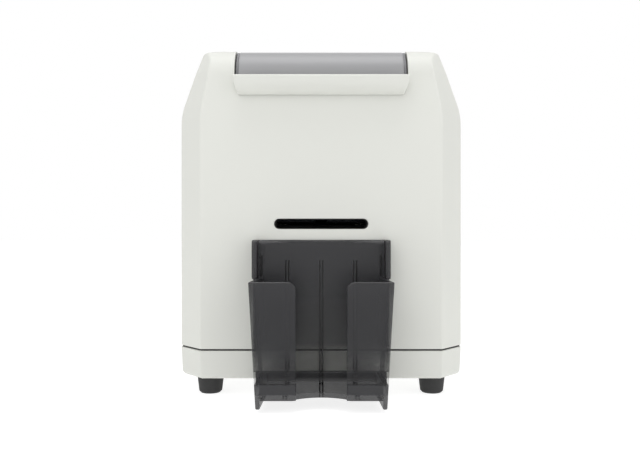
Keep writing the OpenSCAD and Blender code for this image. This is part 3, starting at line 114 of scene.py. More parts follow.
# Lid and lip
LID_R, LID_T, LID_STEP, LID_STEP_W = 17.4, 2.4, 1.9, 2.0
HINGE_Y, HINGE_Z, NOTCH_R = DEPTH - 20, LID_TOP - 4.6, 3.65
LIP_T, LIP_R, LIP_GAP, LIP_TAPER_Z = 2.2, 15.0, 0.4, LIP_TOP - 1.5

# Output tray
TRAY_T, TRAY_GAP, TRAY_FLOOR, TRAY_FOOT = 2.6, 0.4, 10.1, 16.0
TRAY_BACK, TRAY_UNDER = -TRAY_GAP - TRAY_T, TRAY_FLOOR - 3
FLAP_TOP, FLAP_GAP, FLAP_R = 74.2, 14.4, 5.0
WALL_LEAN, WALL_SPLAY = 0.038, 2.9
FINGER_R, FINGER_D = 23.0, 9.7
EAR_T, EAR_OUT = 3.2, 12.4
RIB_XS, RIB_HALF, RIB_TOP = (-20.9, 0.0, 20.9), 0.55, TRAY_TOP - 12.4
GROOVE_HALF, GROOVE_D = 1.3, 1.3
HOOK_X, HOOK_HALF, HOOK_Z, HOOK_H, HOOK_DROP = 36.7, 1.5, TRAY_TOP - 17.4, 7.8, 5.4

# Feet, screws, shafts and keys
FOOT_X, FOOT_YS = 70.7, (15, 305)
BOSS_X, BOSS_YS = 81.5, (36, 284)
POST_X, POST_YS, POST_TOP = 53.5, (30, 150, 278), 57.5
SHAFT_R, PULLEY_X = 3.0, (-54.4, -48.1)
BUTTON_YS, LIGHT_YS = (42, 60), (24, 28, 32)
HAIR = 0.02  # how far a roller's dressed surface stays inside its solid
UPRIGHT, UPSIDE_DOWN = (0, 0, 0), (math.pi, 0, 0)


def span(node):
    """A node's box in the working frame: x0, x1, y0, y1, z0, z1."""
    a, b = low(node), high(node)
    return a.x, b.x, a.y - FRONT, b.y - FRONT, a.z, b.z


def middle_of(node):
    """Middle of a node's box in the working frame."""
    x0, x1, y0, y1, z0, z1 = span(node)
    return (x0 + x1) / 2, (y0 + y1) / 2, (z0 + z1) / 2


def axle(node):
    """Middle of a node in (y, z), which is its shaft's place."""
    middle = (low(node) + high(node)) / 2
    return middle.y - FRONT, middle.z


# Colours and nodes

def linear(hex_colour):
    """Linear red, green and blue of an sRGB hex colour."""
    parts = [int(hex_colour[i:i + 2], 16) / 255 for i in (1, 3, 5)]
    return tuple(c / 12.92 if c <= 0.04045 else ((c + 0.055) / 1.055) ** 2.4 for c in parts)


def paint(colour, share=1.0):
    """A share of a colour, as the four numbers that a node socket takes."""
    return (colour[0] * share, colour[1] * share, colour[2] * share, 1.0)


def add_node(tree, kind, inputs=None, **settings):
    """Adds a node with its settings; each input gets a value, or a link where a socket is given."""
    node = tree.nodes.new(kind)
    for key, value in settings.items():
        setattr(node, key, value)
    for key, value in (inputs or {}).items():
        if isinstance(value, bpy.types.NodeSocket):
            tree.links.new(value, node.inputs[key])
        else:
            node.inputs[key].default_value = value
    return node


# Sizes and colours that a user would change

def size(name, description, value, lowest=0.0, highest=50.0):
    """A length property in metres, whose default is given in millimetres."""
    return FloatProperty(name=name, description=description, default=value * MM, min=lowest * MM,
                         max=highest * MM, subtype="DISTANCE", unit="LENGTH", precision=5)


def colour(name, description, hex_colour):
    """A colour property."""
    return FloatVectorProperty(name=name, description=description, default=linear(hex_colour),
                               subtype="COLOR", size=3, min=0, max=1)


class PrinterSizes(bpy.types.PropertyGroup):
    """Radii and small sizes of the finished surfaces."""
    corner_r: size("Corner radius", "Rounding of the casing's chamfer edges, from above", 2.6)
    foot_edge_r: size("Base edge radius", "Rounding along the underside of the base", 2.2)
    edge: size("Moulded edge", "Rounding of openings and other moulded edges", 0.55)
    tray_edge: size("Tray edge", "Rounding of the clear tray's edges", 0.55)
    screw_head_r: size("Screw head radius", "Radius of the pan heads", 2.8)
    belt_tooth: size("Belt tooth pitch", "Distance between the belt's teeth", 2.0)
    lip_end: size("Lip end taper", "How much narrower the lip's foot is, on each side", 2.2)


class PrinterColours(bpy.types.PropertyGroup):
    """Colours of the finishes."""
    shell: colour("Casing", "Warm white ABS of the casing, the base and the lip", "#DEDFD9")
    lid: colour("Lid", "Mid grey ABS of the lid panel and the buttons", "#98989A")
    # A darker grey than the lid, which paints the shade of the gap beside the lid
    trim: colour("Lid strips", "Darker grey ABS of the strips along the lid's sides", "#828285")
    smoke: colour("Tray", "Smoked polycarbonate of the tray and the rear door", "#2A2A2D")
    rubber: colour("Rubber", "Black rubber of the feet, the strip and the rollers", "#2B2B2B")
    deck: colour("Deck", "Dark grey plastic of the inner parts", "#3A3B3D")
    board: colour("Board", "Solder mask of the boards", "#1F5A3A")
    core: colour("Cores", "Natural acetal of cores, gears and bushes", "#E4DECB")
    film: colour("Ribbon", "Dye ribbon on its rolls", "#15151A")
    cleaning: colour("Cleaning roller", "Tacky silicone of the cleaning roller", "#3E7FC1")


# Materials

EVEN = (1, 1, 1)

# Plastics, rubbers and ceramics by slot: name, colour property or hex colour, roughness, grain and
# its depth in millimetres, how far the tone drifts, coat, stretch of the grain
PLASTICS = {
    # ABS, injection-moulded with a fine matt grain: soft broad highlights on a warm white
    "shell_white": ("casing_abs_fine_grain", "shell", 0.46, 0.55, 0.012, 0.015, 0.0, EVEN),
    # ABS, moulded and satin: a little smoother than the casing, so the curved front shades more
    "lid_grey": ("lid_abs_satin", "lid", 0.36, 0.5, 0.008, 0.02, 0.0, EVEN),
    # ABS, moulded and matt, a darker grey than the lid: painted shade of the gap on the strips
    # along the lid's side edges
    "strips": ("strip_abs_matt", "trim", 0.5, 0.5, 0.01, 0.02, 0.0, EVEN),
    # Smoked polycarbonate, moulded satin: dark, with a trace of what stands behind its thin walls
    "smoke": ("polycarbonate_smoked", "smoke", 0.36, 1.5, 0.004, 0.02, 0.0, EVEN),
    # Nitrile rubber, moulded: almost black and dull, with a dusty bloom
    "rubber_black": ("nitrile_rubber_moulded", "rubber", 0.68, 0.8, 0.03, 0.2, 0.0, EVEN),
    # Glass-filled ABS, moulded: dark and slightly mottled, for the parts under the lid
    "deck_grey": ("deck_abs_glass_filled", "deck", 0.5, 0.7, 0.02, 0.12, 0.0, EVEN),
    # Glass-epoxy board with solder mask: glossy green, with lighter clouds under the mask
    "board_green": ("glass_epoxy_solder_mask", "board", 0.3, 0.6, 0.01, 0.3, 0.3, EVEN),
    # Polyester dye ribbon: near black, glossy and slightly wavy
    "ribbon_black": ("polyester_dye_ribbon", "film", 0.2, 6.0, 0.05, 0.3, 0.3, EVEN),
    # Acetal, moulded: waxy off-white gears, bushes and cores
    "core_cream": ("acetal_natural", "core", 0.34, 0.9, 0.006, 0.05, 0.0, EVEN),
    # Silicone, cast on the shaft: smooth and slightly glossy blue
    "clean_blue": ("silicone_tacky", "cleaning", 0.25, 1.2, 0.004, 0.08, 0.2, EVEN),
    # EPDM rubber, ground after moulding: fine rings of grinding round each roller
    "sleeve_black": ("epdm_rubber_ground", "rubber", 0.55, 0.35, 0.02, 0.25, 0.0, (1, 0.03, 0.03)),
    # Alumina, sintered and lapped: the head's chalky white bar
    "ceramic": ("alumina_sintered", "#E2DCCB", 0.5, 0.3, 0.01, 0.04, 0.0, EVEN),
    # Glass glaze, screened and fired: the glossy brown line that heats the ribbon
    "glaze": ("glass_glaze_fired", "#5A4632", 0.12, 2.0, 0.001, 0.1, 0.5, EVEN),
    # Acrylic, moulded with a frosted tip: milky status lights
    "light_pipe": ("acrylic_frosted", "#D9E2DC", 0.35, 0.8, 0.01, 0.02, 0.0, EVEN),
}

# Metals by slot: name, hex colour, roughness, width and depth of the lines in millimetres, stretch,
# whose smallest number is the axis that the lines run along
METALS = {
    # Mild steel, zinc-plated: bright grey with a cloudy spangle
    "steel": ("steel_zinc_plated", "#C3C7CB", 0.34, 0.35, 0.004, EVEN),
    # Steel, turned and ground: shafts with fine rings, which run round the x axis
    "shafts": ("steel_turned", "#CFD2D6", 0.22, 0.2, 0.004, (1, 0.05, 0.05)),
    # Aluminium, extruded and sawn: pale and soft, with fine lines along the extrusion
    "aluminium": ("aluminium_extruded", "#DADCDD", 0.38, 0.3, 0.004, (1, 0.04, 1)),
    # Phosphor bronze, gold-plated: the small bright contacts of the ports and chips
    "gold": ("bronze_gold_plated", "#D9B25A", 0.28, 0.2, 0.002, EVEN),
}
FINISHES = {}

# How much of the smoked plastic hides what is behind it, by height: the tray's floor, thick foot,
# plate and top. Less is hidden on the floor and low on the plate, so these render lighter: painted
# light from below, on top of the plastic's own see-through.
SMOKE_AND_LIGHT_STEPS = ((TRAY_FLOOR + 0.1, 0.74), (TRAY_FLOOR + 0.4, 0.84), (TRAY_FOOT, 0.84),
               (TRAY_FOOT + 0.5, 0.25), (SEAM, 0.34), (SEAM + 5, 0.55), (60.0, 0.66),
               (FLAP_TOP, 0.82))


def surface(name, base, tone, clouds, stretch, grain, gloss, relief, sockets):
    """A finish whose tone drifts in clouds, and whose fine grain changes its gloss and relief.

    grain is its size and the noise's own roughness, gloss the noise from and to with the roughness
    that each gives, and relief the bump's strength and depth.
    """
    material = bpy.data.materials.new(name)
    material.use_nodes = True
    tree = material.node_tree
    shader = tree.nodes["Principled BSDF"]
    for socket, value in sockets.items():
        shader.inputs[socket].default_value = value
    place = add_node(tree, "ShaderNodeTexCoord").outputs["Object"]
    drift = add_node(tree, "ShaderNodeTexNoise", {"Vector": place, "Scale": clouds, "Detail": 3.0})
    # Sockets 6 and 7 are the Mix node's two colours, and output 2 is the mixed one
    mixed = add_node(tree, "ShaderNodeMix", {
        "Factor": drift.outputs["Fac"], 6: paint(base, 1 - tone), 7: paint(base)},
        data_type="RGBA")
    along = add_node(tree, "ShaderNodeMapping", {"Vector": place, "Scale": stretch})
    fine = add_node(tree, "ShaderNodeTexNoise", {
        "Vector": along.outputs["Vector"], "Scale": 1 / (grain[0] * MM), "Detail": 2.0,
        "Roughness": grain[1]}).outputs["Fac"]
    satin = add_node(tree, "ShaderNodeMapRange", {
        "Value": fine, "From Min": gloss[0], "From Max": gloss[1], "To Min": gloss[2],
        "To Max": gloss[3]})
    bump = add_node(tree, "ShaderNodeBump", {
        "Height": fine, "Strength": relief[0], "Distance": relief[1] * MM})
    tree.links.new(mixed.outputs[2], shader.inputs["Base Color"])
    tree.links.new(satin.outputs["Result"], shader.inputs["Roughness"])
    tree.links.new(bump.outputs["Normal"], shader.inputs["Normal"])
    return material


def smoked(tree, shader, base):
    """Lets the smoked plastic show what is behind it, and paints shade into the grooves beside the
    ribs.
    """
    place = add_node(tree, "ShaderNodeTexCoord").outputs["Object"]
    parts = add_node(tree, "ShaderNodeSeparateXYZ", {"Vector": place}).outputs
    # Hidden share by height, lower near the bottom as painted light from below
    share = add_node(tree, "ShaderNodeMapRange", {"Value": parts["Z"], "From Max": TRAY_TOP * MM})
    veil = add_node(tree, "ShaderNodeValToRGB", {"Fac": share.outputs["Result"]})
    stops = veil.color_ramp.elements
    for i, (z, hidden) in enumerate(SMOKE_AND_LIGHT_STEPS):
        stop = stops[i] if i < 2 else stops.new(z / TRAY_TOP)
        stop.position = z / TRAY_TOP
        stop.color = paint((hidden, hidden, hidden))

    # Painted shade: the grooves beside each rib are painted near black and made opaque, so each rib
    # stands between two dark lines
    aside = add_node(tree, "ShaderNodeMath", {0: parts["X"]}, operation="ABSOLUTE").outputs[0]
    beyond = add_node(tree, "ShaderNodeMath", {0: aside, 1: RIB_XS[-1] * MM}, operation="SUBTRACT")
    beyond = add_node(tree, "ShaderNodeMath", {0: beyond.outputs[0]}, operation="ABSOLUTE")
    near = add_node(tree, "ShaderNodeMath", {0: aside, 1: beyond.outputs[0]}, operation="MINIMUM")
    line = 1.0
    for socket, start, end in ((near.outputs[0], RIB_HALF, GROOVE_HALF),
                               (parts["Y"], FRONT - TRAY_OUT + 4, FRONT + 0.5),
                               (parts["Z"], 0.0, RIB_TOP)):
        within = add_node(tree, "ShaderNodeMath", {
            0: socket, 1: (start + end) / 2 * MM, 2: (end - start) / 2 * MM}, operation="COMPARE")
        line = add_node(tree, "ShaderNodeMath", {0: within.outputs[0], 1: line},
                        operation="MULTIPLY").outputs[0]
    tint = shader.inputs["Base Color"].links[0].from_socket
    # Painted shade: near black in the grooves beside the ribs
    groove_painted_shade = add_node(tree, "ShaderNodeMix", {"Factor": line, 6: tint, 7: paint(base, 0.15)},
                    data_type="RGBA")
    tree.links.new(groove_painted_shade.outputs[2], shader.inputs["Base Color"])
    hidden = add_node(tree, "ShaderNodeMath", {0: veil.outputs["Color"], 1: line},
                      operation="MAXIMUM")
    tree.links.new(hidden.outputs[0], shader.inputs["Alpha"])


def finish_of(slot):
    """The material of a slot, made the first time that it is asked for."""
    if slot in FINISHES:
        return FINISHES[slot]
    if slot in METALS:
        name, base, rough, grain, depth, stretch = METALS[slot]
        material = surface(name, linear(base), 0.18, 90.0, stretch, (grain, 0.5),
                           (0.0, 1.0, rough - 0.08, rough + 0.1), (0.3, depth), {"Metallic": 1.0})
    else:
        name, base, rough, grain, depth, tone, coat, stretch = PLASTICS[slot]
        given = base.startswith("#")
        base = linear(base) if given else getattr(bpy.context.scene.printer_colours, base)
        material = surface(name, base, tone, 14.0, stretch, (grain, 0.6),
                           (0.3, 0.7, rough - 0.04, rough + 0.04), (0.5, depth),
                           {"IOR": 1.53, "Coat Weight": coat})
    tree = material.node_tree
    shader = tree.nodes["Principled BSDF"]
    if slot == "smoke":
        smoked(tree, shader, base)
    if slot == "light_pipe":
        shader.inputs["Transmission Weight"].default_value = 0.4
    FINISHES[slot] = material
    return material


# Meshes

def linked(name, data):
    """A new object in the scene."""
    item = bpy.data.objects.new(name, data)
    bpy.context.scene.collection.objects.link(item)
    return item


def mesh_piece(name, points, faces):
    """An object from points in millimetres in the working frame, and its faces."""
    mesh = bpy.data.meshes.new(name)
    mesh.from_pydata([(x * MM, (y + FRONT) * MM, z * MM) for x, y, z in points], [], faces)
    return linked(name, mesh)


def edited(piece, change):
    """Changes a piece's mesh by a function that is given it as a bmesh."""
    form = bmesh.new()
    form.from_mesh(piece.data)
    change(form)
    form.to_mesh(piece.data)
    form.free()
    return piece


def copy_of(node, name):
    """A merged copy of a node's mesh, with its flat faces joined."""
    def merge(form):
        bmesh.ops.remove_doubles(form, verts=form.verts, dist=1e-6)
        bmesh.ops.dissolve_limit(form, angle_limit=math.radians(0.2), verts=form.verts,
                                 edges=form.edges)
    source = frame["nodes"][node].data
    mesh = bpy.data.meshes.new(name)
    mesh.from_pydata([v.co for v in source.vertices], [],
                     [tuple(p.vertices) for p in source.polygons])
    return edited(linked(name, mesh), merge)


def outward(piece):
    """Makes a closed mesh's faces point outwards."""
    def turn(form):
        bmesh.ops.recalc_face_normals(form, faces=form.faces)
        if form.calc_volume(signed=True) < 0:
            bmesh.ops.reverse_faces(form, faces=form.faces)
    return edited(piece, turn)


def loft(name, rings, closed=False):
    """Skins a stack of closed rings, then caps both ends or joins the last ring to the first."""
    n, count = len(rings[0]), len(rings)
    faces = []
    for i in range(count if closed else count - 1):
        a, b = i * n, (i + 1) % count * n
        faces += [(a + k, a + (k + 1) % n, b + (k + 1) % n, b + k) for k in range(n)]
    if not closed:
        faces += [tuple(reversed(range(n))), tuple(range((count - 1) * n, count * n))]
    return mesh_piece(name, [p for ring in rings for p in ring], faces)


def frozen(piece):
    """Turns a piece's modifiers into plain mesh."""
    depsgraph = bpy.context.evaluated_depsgraph_get()
    mesh = bpy.data.meshes.new_from_object(piece.evaluated_get(depsgraph))
    piece.modifiers.clear()
    piece.data = mesh
    return piece


def carved(piece, tool, operation):
    """Joins, cuts or trims a piece with a tool, which is then removed."""
    modifier = piece.modifiers.new("carve", "BOOLEAN")
    modifier.operation = operation
    modifier.solver = "MANIFOLD"
    modifier.object = tool
    frozen(piece)
    bpy.data.objects.remove(tool)
    return piece


def union(piece, *parts):
    """Joins closed parts into a piece."""
    for part in parts:
        carved(piece, part, "UNION")
    return piece


def cut(piece, *tools):
    """Cuts tools from a piece."""
    for tool in tools:
        carved(piece, tool, "DIFFERENCE")
    return piece


def bevelled(piece, width, segments=2, angle=30, method="ANGLE", clamp=True):
    """Rounds a piece's edges by a width in millimetres, as plain mesh."""
    bevel = piece.modifiers.new("edges", "BEVEL")
    bevel.width = width * MM
    bevel.segments = segments
    bevel.limit_method = method
    bevel.angle_limit = math.radians(angle)
    bevel.use_clamp_overlap = clamp
    return frozen(piece)


def softened(piece, width, crisp_slots=False, angle=32):
    """Fine rounded edges on a copy of a node or a cut form, which can leave out slots in a side."""
    def split(form):
        # A bevel could otherwise fold faces with more corners over a hole
        many = [face for face in form.faces if len(face.verts) > 4]
        bmesh.ops.triangulate(form, faces=many)

    def weigh(form):
        weight = form.edges.layers.float.new("bevel_weight_edge")
        for edge in form.edges:
            turn = edge.calc_face_angle(0.0) if len(edge.link_faces) == 2 else 0.0
            across = sorted(abs(face.normal.x) for face in edge.link_faces)
            rim = across[0] < 0.1 and across[-1] > 0.999
            edge[weight] = 1.0 if turn > math.radians(angle) and not rim else 0.0

    edited(piece, split)
    if crisp_slots:
        edited(piece, weigh)
    return bevelled(piece, width, 2, angle, "WEIGHT" if crisp_slots else "ANGLE", clamp=False)


def fitted(piece, node, finish=None):
    """Shades a piece, gives it the material of its finish or its node's slot, gives it its body,
    and hides the node that it stands for.
    """
    if not piece.data.polygons:
        raise RuntimeError(f"{piece.name} has no faces")
    mesh = piece.data
    mesh.polygons.foreach_set("use_smooth", [True] * len(mesh.polygons))
    mesh.set_sharp_from_angle(angle=math.radians(40))
    flat = piece.modifiers.new("flat_faces", "WEIGHTED_NORMAL")
    flat.keep_sharp = True
    flat.weight = 100
    frozen(piece)
    piece.data.materials.clear()
    piece.data.materials.append(finish_of(finish or SLOT_OF[node]))
    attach(piece, BODY_OF[node])
    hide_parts(node)


# Outlines and simple forms

def lifted(spot, axis, along):
    """A flat spot at a place along an axis: (y, z) along x, (x, z) along y, (x, y) along z."""
    k = "xyz".index(axis)
    return (*spot[:k], along, *spot[k:])


def sides(side, near, far):
    """Two distances from the middle, on side 1 or -1, as places with the lower first."""
    return sorted((side * near, side * far))


def mirrored(points):
    """The same outline on the other side, still running the same way round."""
    return [(-p[0], *p[1:]) for p in reversed(points)]


def arc(cx, cy, r, a0, a1, n):
    """Points along an arc, both ends included."""
    return [(cx + r * math.cos(a0 + (a1 - a0) * i / n), cy + r * math.sin(a0 + (a1 - a0) * i / n))
            for i in range(n + 1)]


def corner_arc(start, corner, end, radius, steps):
    """Points of the arc that rounds one corner, smaller where a side is short."""
    before, after = start - corner, end - corner
    half = before.angle(after) / 2
    reach = min(radius / math.tan(half), 0.45 * before.length, 0.45 * after.length)
    r = reach * math.tan(half)
    centre = corner + (before.normalized() + after.normalized()).normalized() * (r / math.sin(half))
    first = corner + before.normalized() * reach - centre
    last = corner + after.normalized() * reach - centre
    return [centre + first.lerp(last, s / steps).normalized() * r for s in range(steps + 1)]


def rounded(corners, radius, steps, only=None):
    """A closed outline whose corners, or only one of them, are arcs."""
    corners = [Vector(p) for p in corners]
    line = []
    for i, corner in enumerate(corners):
        if only is None or i == only:
            after = corners[(i + 1) % len(corners)]
            line += corner_arc(corners[i - 1], corner, after, radius, steps)
        else:
            line.append(corner)
    return line


def oblong(x0, x1, y0, y1, radius, steps):
    """Outline of a rectangle with rounded corners."""
    return rounded([(x0, y0), (x1, y0), (x1, y1), (x0, y1)], radius, steps)


def eased(points, radius, steps=3):
    """An open line whose inner corners are arcs."""
    points = [Vector(p) for p in points]
    line = [points[0]]
    for corner in zip(points, points[1:], points[2:]):
        line += corner_arc(*corner, radius, steps)
    return line + [points[-1]]


def block(name, x0, x1, y0, y1, z0, z1):
    """A plain block in the working frame, to be rounded, joined or cut."""
    return loft(name, [[(x0, y0, z), (x1, y0, z), (x1, y1, z), (x0, y1, z)] for z in (z0, z1)])


def drawn(name, outline, axis, start, end):
    """An outline drawn anticlockwise and carried along an axis."""
    ends = (end, start) if axis == "y" else (start, end)
    return outward(loft(name, [[lifted(spot, axis, at) for spot in outline] for at in ends]))


def turned(name, line, axis, middle, closed=False, steps=48):
    """Turns a line of (place along the axis, radius) round the axis through middle."""
    rings = [[lifted(spot, axis, along) for spot in arc(*middle, r, 0, math.tau, steps)[:-1]]
             for along, r in line if r >= 0.001 or closed]
    return outward(loft(name, rings, closed))


def rod(name, r, start, end, middle, axis="x", edge=0.25):
    """A round bar with rounded ends."""
    line = eased([(start, 0), (start, r), (end, r), (end, 0)], edge)
    return turned(name, line, axis, middle)


def toothed(teeth, tip, root, middle):
    """Outline of a toothed wheel with flat-topped teeth, anticlockwise round middle."""
    line = []
    for i in range(teeth):
        for share, r in ((-0.34, root), (-0.18, tip), (0.18, tip), (0.34, root)):
            a = math.tau * (i + share) / teeth
            line.append((middle[0] + r * math.cos(a), middle[1] + r * math.sin(a)))
    return line


# Geometry Nodes

def nodes_tree(name, sockets):
    """A new Geometry Nodes tree with named inputs, and its group input."""
    tree = bpy.data.node_groups.new(name, "GeometryNodeTree")
    for socket, kind in sockets:
        tree.interface.new_socket(socket, in_out="INPUT", socket_type="NodeSocket" + kind)
    tree.interface.new_socket("Pieces", in_out="OUTPUT", socket_type="NodeSocketGeometry")
    return tree, add_node(tree, "NodeGroupInput").outputs


def close_tree(tree, instances, finish):
    """Ends a tree: real geometry with its material."""
    real = add_node(tree, "GeometryNodeRealizeInstances", {"Geometry": instances})
    dressed = add_node(tree, "GeometryNodeSetMaterial", {
        "Geometry": real.outputs[0], "Material": finish})
    add_node(tree, "NodeGroupOutput", {"Pieces": dressed.outputs[0]})


def places_tree():
    """Geometry Nodes: an item at every vertex, turned as the vertex says, with a random spin."""
    tree, given = nodes_tree("item_at_places", (
        ("Places", "Geometry"), ("Item", "Object"), ("Spin", "Float"), ("Seed", "Int"),
        ("Finish", "Material")))
    item = add_node(tree, "GeometryNodeObjectInfo", {"Object": given["Item"]})
    turn = add_node(tree, "GeometryNodeInputNamedAttribute", {"Name": "turn"},
                    data_type="FLOAT_VECTOR")
    facing = add_node(tree, "FunctionNodeEulerToRotation", {"Euler": turn.outputs["Attribute"]})
    placed = add_node(tree, "GeometryNodeInstanceOnPoints", {
        "Points": given["Places"], "Instance": item.outputs["Geometry"],
        "Rotation": facing.outputs[0]})
    # Socket 3 is the largest value and output 1 the value of the node's number kind
    chance = add_node(tree, "FunctionNodeRandomValue", {3: given["Spin"], "Seed": given["Seed"]},
                      data_type="FLOAT")
    angles = add_node(tree, "ShaderNodeCombineXYZ", {"Z": chance.outputs[1]})
    spin = add_node(tree, "FunctionNodeEulerToRotation", {"Euler": angles.outputs[0]})
    spun = add_node(tree, "GeometryNodeRotateInstances", {
        "Instances": placed.outputs[0], "Rotation": spin.outputs[0]})
    close_tree(tree, spun.outputs[0], given["Finish"])
    return tree


def row_tree():
    """Geometry Nodes: an item repeated in a straight row."""
    tree, given = nodes_tree("item_in_row", (
        ("Item", "Object"), ("Count", "Int"), ("Start", "Vector"), ("Step", "Vector"),
        ("Finish", "Material")))
    item = add_node(tree, "GeometryNodeObjectInfo", {"Object": given["Item"]})
    line = add_node(tree, "GeometryNodeMeshLine", {
        "Count": given["Count"], "Start Location": given["Start"], "Offset": given["Step"]},
        mode="OFFSET")
    placed = add_node(tree, "GeometryNodeInstanceOnPoints", {
        "Points": line.outputs[0], "Instance": item.outputs["Geometry"]})
    close_tree(tree, placed.outputs[0], given["Finish"])
    return tree


TREES = {}


def grown(piece, maker, item, **values):
    """Runs a tree on a piece, with its inputs set by identifier, and leaves plain mesh."""
    if maker not in TREES:
        TREES[maker] = maker()
    tree = TREES[maker]
    # The item was made at the working frame's origin and is moved to the scene's
    item.data.transform(Matrix.Translation((0, -FRONT * MM, 0)))
    values["Item"] = item
    modifier = piece.modifiers.new("repeat", "NODES")
    modifier.node_group = tree
    for socket in tree.interface.items_tree:
        if socket.in_out == "INPUT" and socket.name in values:
            modifier[socket.identifier] = values[socket.name]
    frozen(piece)
    bpy.data.objects.remove(item)
    return piece


def repeated(name, item, places, finish, spin=0.0, seed=7):
    """An item at each place, given as a point in millimetres and its turns about x, y and z."""
    piece = mesh_piece(name, [point for point, _ in places], [])
    turns = piece.data.attributes.new("turn", "FLOAT_VECTOR", "POINT")
    for entry, (_, turn) in zip(turns.data, places):
        entry.vector = turn
    return grown(piece, places_tree, item, Spin=spin, Seed=seed, Finish=finish_of(finish))


def in_row(name, item, count, start, step, finish):
    """An item repeated in a row from start, both in millimetres."""
    start = Vector(start) + Vector((0, FRONT, 0))
    return grown(mesh_piece(name, [], []), row_tree, item, Count=count, Start=start * MM,
                 Step=Vector(step) * MM, Finish=finish_of(finish))


# Casing

def casing_half(z):
    """Half the casing's width at height z: upright, blended into the lean, then the shoulder."""
    tangent, fall = math.tan(LEAN), math.tan(SHOULDER_FALL)
    corner_x = (HALF + (LEAN_Z - TOP) * tangent - FLAT_HALF * fall * tangent) / (1 - fall * tangent)
    corner_z = TOP - (corner_x - FLAT_HALF) * fall
    upper = math.pi / 2 - SHOULDER_FALL
    k = CORNER_R / (1 + math.cos(upper - LEAN))
    cx = corner_x - k * (math.cos(LEAN) + math.cos(upper))
    cz = corner_z - k * (math.sin(LEAN) + math.sin(upper))
    if z <= BLEND_Z:
        return HALF
    if z <= BLEND_Z + BLEND_R * math.sin(LEAN):
        return HALF - BLEND_R + math.sqrt(BLEND_R ** 2 - (z - BLEND_Z) ** 2)
    if z <= cz + CORNER_R * math.sin(LEAN):
        return HALF - (z - LEAN_Z) * tangent
    if z <= cz + CORNER_R * math.sin(upper):
        return cx + math.sqrt(CORNER_R ** 2 - (z - cz) ** 2)
    return FLAT_HALF + (TOP - z) / fall


def plan(half, share, front, back, radius):
    """The casing's outline at one height: a rectangle with chamfered corners, its edges rounded."""
    cx, cy = CHAMFER_X * share, CHAMFER_Y * share
    near, far = [max(0.06, 1 - inward / cy) for inward in (front, back)]
    end = DEPTH - back
    right = [(half - cx * near, front), (half, front + cy * near), (half, end - cy * far),
             (half - cx * far, end)]
    return rounded(right + mirrored(right), radius, 4)


def rolled(z, radius):
    """How far a rounded top edge has come in at height z."""
    over = max(0.0, z - (TOP - radius))
    return radius - math.sqrt(max(0.0, radius ** 2 - over ** 2))


def casing_block(radius, inset=0.06):
    """The solid outer form of the casing, a hair inside the construction's own faces."""
    dense = 26
    heights = {SEAM + 1, 100.0, LEAN_Z + CHAMFER_RUN}
    heights |= {BLEND_Z + BLEND_R * math.sin(LEAN * i / 8) for i in range(9)}
    heights |= {TOP - FRONT_TOP_R + FRONT_TOP_R * math.sin(math.pi / 2 * i / dense)
                for i in range(dense + 1)}
    heights |= {TOP - 3.4 + 0.2 * i for i in range(15)}
    rings = []
    last = -1.0
    for z in sorted(heights):
        if z - last < 0.04:
            continue
        last = z
        front, back = rolled(z, FRONT_TOP_R), rolled(z, BACK_TOP_R)
        share = 1 - (1 - CHAMFER_LEFT) * min(1.0, max(0.0, z - LEAN_Z) / CHAMFER_RUN)
        outline = plan(casing_half(z) - inset, share, front + inset, back + inset, radius)
        # The top itself comes down by the inset, over its last millimetre
        height = z if z < TOP - 1 else z - inset * (z - TOP + 1)
        rings.append([(p.x, p.y, height) for p in outline])
    return loft("casing_block", rings)


class PRINTER_OT_casing(bpy.types.Operator):
    """Upper casing with rounded chamfers, lid recess, card slot, vents and windows."""
    bl_idname = "card_printer.casing"
    bl_label = "Casing"

    def execute(self, context):
        sizes = context.scene.printer_sizes
        casing = copy_of("upper_casing", "casing")
        form = casing_block(sizes.corner_r / MM)
        # The door's hinge ears stand behind the back face, so they are kept apart from the trim
        ears = copy_of("upper_casing", "casing_ears")
        room = block("back_room", -HALF, HALF, DEPTH - 0.07, DEPTH + 9, 20, 120)
        carved(ears, room, "INTERSECT")
        carved(casing, form, "INTERSECT")
        union(casing, ears)
        # Narrow slots stay crisp: rounded rims would run out along the long faces between them
        fitted(softened(casing, sizes.edge / MM, crisp_slots=True), "upper_casing")
        return {"FINISHED"}


class PRINTER_OT_base(bpy.types.Operator):
    """Base pan with a rounded lower edge."""
    bl_idname = "card_printer.base"
    bl_label = "Base"

    def execute(self, context):
        sizes = context.scene.printer_sizes
        r, corner = sizes.foot_edge_r / MM, sizes.corner_r / MM
        levels = []
        for i in range(7):
            a = math.pi / 2 * i / 6
            z = BASE + r - r * math.cos(a)
            draft = BASE_DRAFT * (SEAM - z) / (SEAM - BASE)
            levels.append((z, 0.05 + r * (1 - math.sin(a)) + draft))
        levels += [(SEAM - 0.3, 0.06), (SEAM, 0.3), (SEAM + 6, 0.3)]
        form = loft("base_form", [[(p.x, p.y, z) for p in plan(HALF - d, 1, d, d, corner)]
                                  for z, d in levels])
        base = carved(copy_of("base_pan", "base"), form, "INTERSECT")
        fitted(softened(base, sizes.edge * 0.6 / MM), "base_pan")
        return {"FINISHED"}


# Lid

